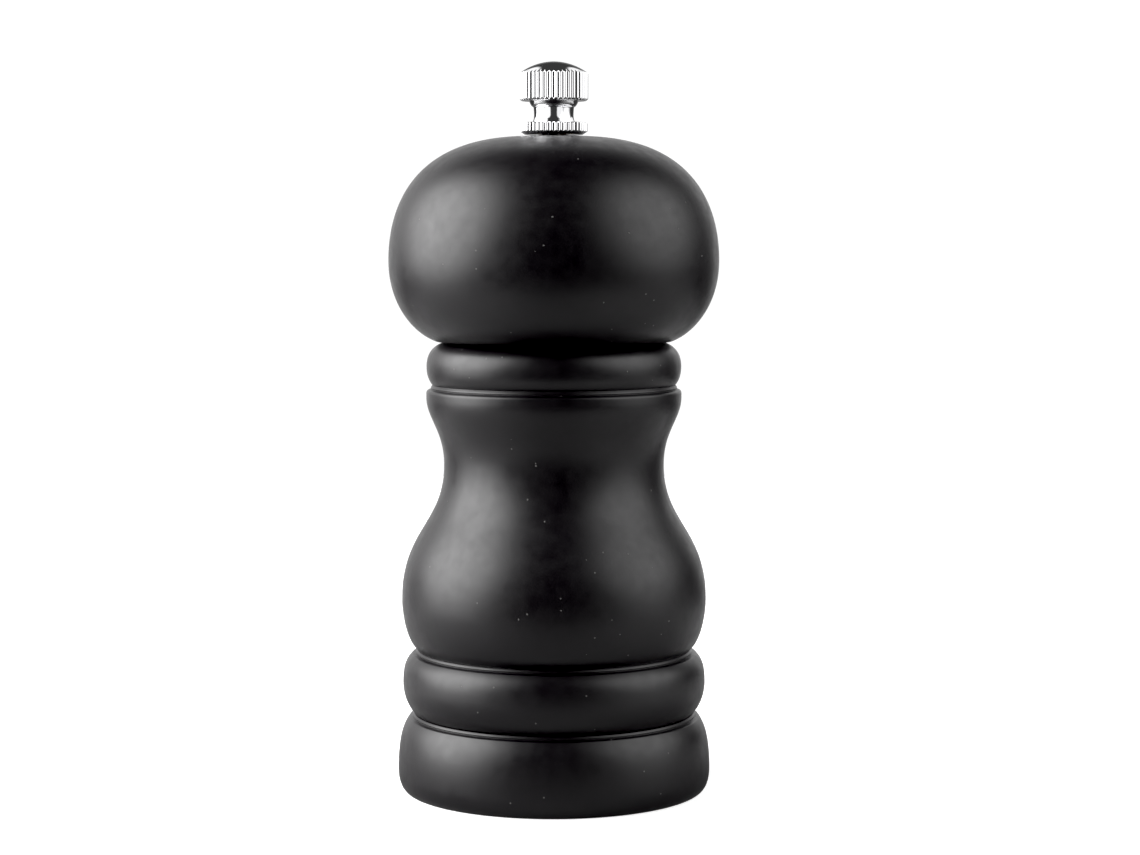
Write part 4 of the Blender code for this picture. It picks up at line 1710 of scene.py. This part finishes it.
@dataclass
class Studio:
    """Pale floor, white surround, softboxes and the camera."""

    camera_place: tuple[float, float, float] = (0.00287, -0.46498, 0.1002)
    camera_pitch: float = 4.324
    focal_length: float = 82.34
    sensor: float = 36.0
    floor_radius: float = 0.60
    floor_tone: float = 0.80
    floor_glow: float = 0.70
    table_size: tuple[float, float] = (0.46, 0.18)
    table_tone: float = 0.62
    # painted shade: the table is darker in front of and behind the mill, where the side softboxes
    # light it less
    table_painted_shade_tone: float = 0.378
    table_drop: float = 0.1 * MM
    painted_shade_band: tuple[float, float] = (0.03, 0.08)     # where the middle's tone ends, from X = 0
    room_white: float = 1.05    # what the camera sees
    room_dim: float = 0.05      # what lights the mill
    room_back: float = 0.28     # what lights it from behind
    back_reach: tuple[float, float] = (0.86, 0.99)      # how far behind the back begins, of 1
    black_point: float = 0.0062
    boxes: tuple[Softbox, ...] = (
        Softbox("left_softbox", -84.0, 24.5, width=88.0, height=88.0, brightness=7.8),
        Softbox("right_softbox", 77.0, 28.5, width=86.0, height=82.0, brightness=2.65),
        Softbox("left_card", -36.0, 5.0, width=40.0, height=56.0, brightness=1.15, core=0.7,
                only=NUT_ONLY),
        Softbox("right_card", 36.0, 5.0, width=40.0, height=56.0, brightness=1.05, core=0.7,
                only=NUT_ONLY),
        Softbox("left_rear_card", -133.0, 38.0, width=54.0, height=52.0, brightness=1.15, core=0.85,
                only=NUT_ONLY),
        Softbox("right_rear_card", 133.0, 38.0, width=54.0, height=52.0, brightness=1.05, core=0.85,
                only=NUT_ONLY),
        Softbox("backdrop", -173.0, 16.0, width=104.0, height=80.0, brightness=0.90, core=0.6,
                only=WOOD_ONLY),
    )

    def lay_disc(self, name: str, size: tuple[float, float], tone: float, painted_shade_tone: float,
                 glow: float) -> bpy.types.Object:
        """Lay one pale oval on the ground.

        Args:
            name: its name.
            size: its reach along X and Y in metres.
            tone: how pale it is.
            painted_shade_tone: how pale it is in front of the mill and behind it, painted darker
                there as shade where the side softboxes light it less.
            glow: light that it gives of itself, against a white of 1.

        Returns:
            The oval.
        """
        shape = bmesh.new()
        bmesh.ops.create_circle(shape, cap_ends=True, radius=1.0, segments=96)
        bmesh.ops.scale(shape, vec=(*size, 1.0), verts=shape.verts)
        mesh = bpy.data.meshes.new(name)
        shape.to_mesh(mesh)
        shape.free()
        s = Shading(name + "_paint")
        # Painted shade: the oval's colour is darker in a band along Y, in front of and behind the
        # mill, where the side softboxes light it less.
        middle = s.node("ShaderNodeVectorMath", operation="LENGTH")
        s.link(s.stretched((1.0, 0.0, 0.0)), middle.inputs[0])
        aside = s.between(middle.outputs["Value"], 0.0, 1.0, *self.painted_shade_band)
        s.paint("Base Color", s.colours(aside, [(0.0, (painted_shade_tone,) * 3), (1.0, (tone,) * 3)]))
        s.set(Roughness=0.9, Specular_IOR_Level=0.0, Emission_Strength=glow)
        disc = place_piece(name, mesh, s.material)
        return disc

    def build_floor(self) -> None:
        """Lay the white floor that is looked at, and the duller table that the mill mirrors."""
        floor = self.lay_disc("floor", (self.floor_radius,) * 2, self.floor_tone, self.floor_tone,
                              self.floor_glow)
        floor.visible_glossy = False
        floor.visible_diffuse = False
        floor.visible_shadow = False
        table = self.lay_disc("table", self.table_size, self.table_tone, self.table_painted_shade_tone,
                              0.0)
        table.location.z = -self.table_drop
        table.visible_camera = False

    def build_surround(self) -> None:
        """Fill the room: white where it is looked at, dim where it only lights the mill."""
        world = bpy.data.worlds.new("surround")
        bpy.context.scene.world = world
        world.use_nodes = True
        tree = world.node_tree
        background = tree.nodes["Background"]
        background.inputs["Color"].default_value = (1.0, 1.0, 1.0, 1.0)
        direction = tree.nodes.new("ShaderNodeTexCoord")
        split = tree.nodes.new("ShaderNodeSeparateXYZ")
        tree.links.new(direction.outputs["Generated"], split.inputs[0])
        fade = tree.nodes.new("ShaderNodeMapRange")
        tree.links.new(split.outputs["Y"], fade.inputs["Value"])
        for socket, value in zip(("From Min", "From Max", "To Min", "To Max"),
                                 (*self.back_reach, self.room_dim, self.room_back)):
            fade.inputs[socket].default_value = value
        rays = tree.nodes.new("ShaderNodeLightPath")
        pick = tree.nodes.new("ShaderNodeMix")
        tree.links.new(rays.outputs["Is Camera Ray"], pick.inputs["Factor"])
        tree.links.new(fade.outputs["Result"], pick.inputs["A"])
        pick.inputs["B"].default_value = self.room_white
        tree.links.new(pick.outputs["Result"], background.inputs["Strength"])

    def build_camera(self) -> None:
        """Stand the camera up."""
        lens = bpy.data.cameras.new("camera")
        lens.sensor_width = self.sensor
        lens.lens = self.focal_length
        lens.clip_start = 0.01
        camera = bpy.data.objects.new("camera", lens)
        camera.location = self.camera_place
        camera.rotation_euler = (math.radians(90.0 - self.camera_pitch), 0.0, 0.0)
        bpy.context.scene.collection.objects.link(camera)
        bpy.context.scene.camera = camera

    def build(self) -> None:
        """Set the whole studio up."""
        self.build_floor()
        self.build_surround()
        self.build_camera()
        low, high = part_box("mill_body")
        target = Vector((0.0, 0.0, (low.z + high.z) / 2))
        for box in self.boxes:
            box.place(target)
        view = bpy.context.scene.view_settings
        view.view_transform = "Standard"
        view.look = "None"
        view.use_curve_mapping = True
        view.curve_mapping.black_level = (self.black_point,) * 3
        view.curve_mapping.update()


def main() -> None:
    """Build the mill, piece by piece, then the studio round it."""
    logging.basicConfig(level=logging.INFO, format="%(name)s: %(message)s")
    palette = Palette()
    for assembly in (TurnedBody(palette), TurnedHead(palette), KnurledNut(palette), Burrs(palette),
                     GrinderMount(palette), DriveShaft(palette), DrivePlate(palette)):
        assembly.build()
    Studio().build()


if __name__ == "__main__":
    main()
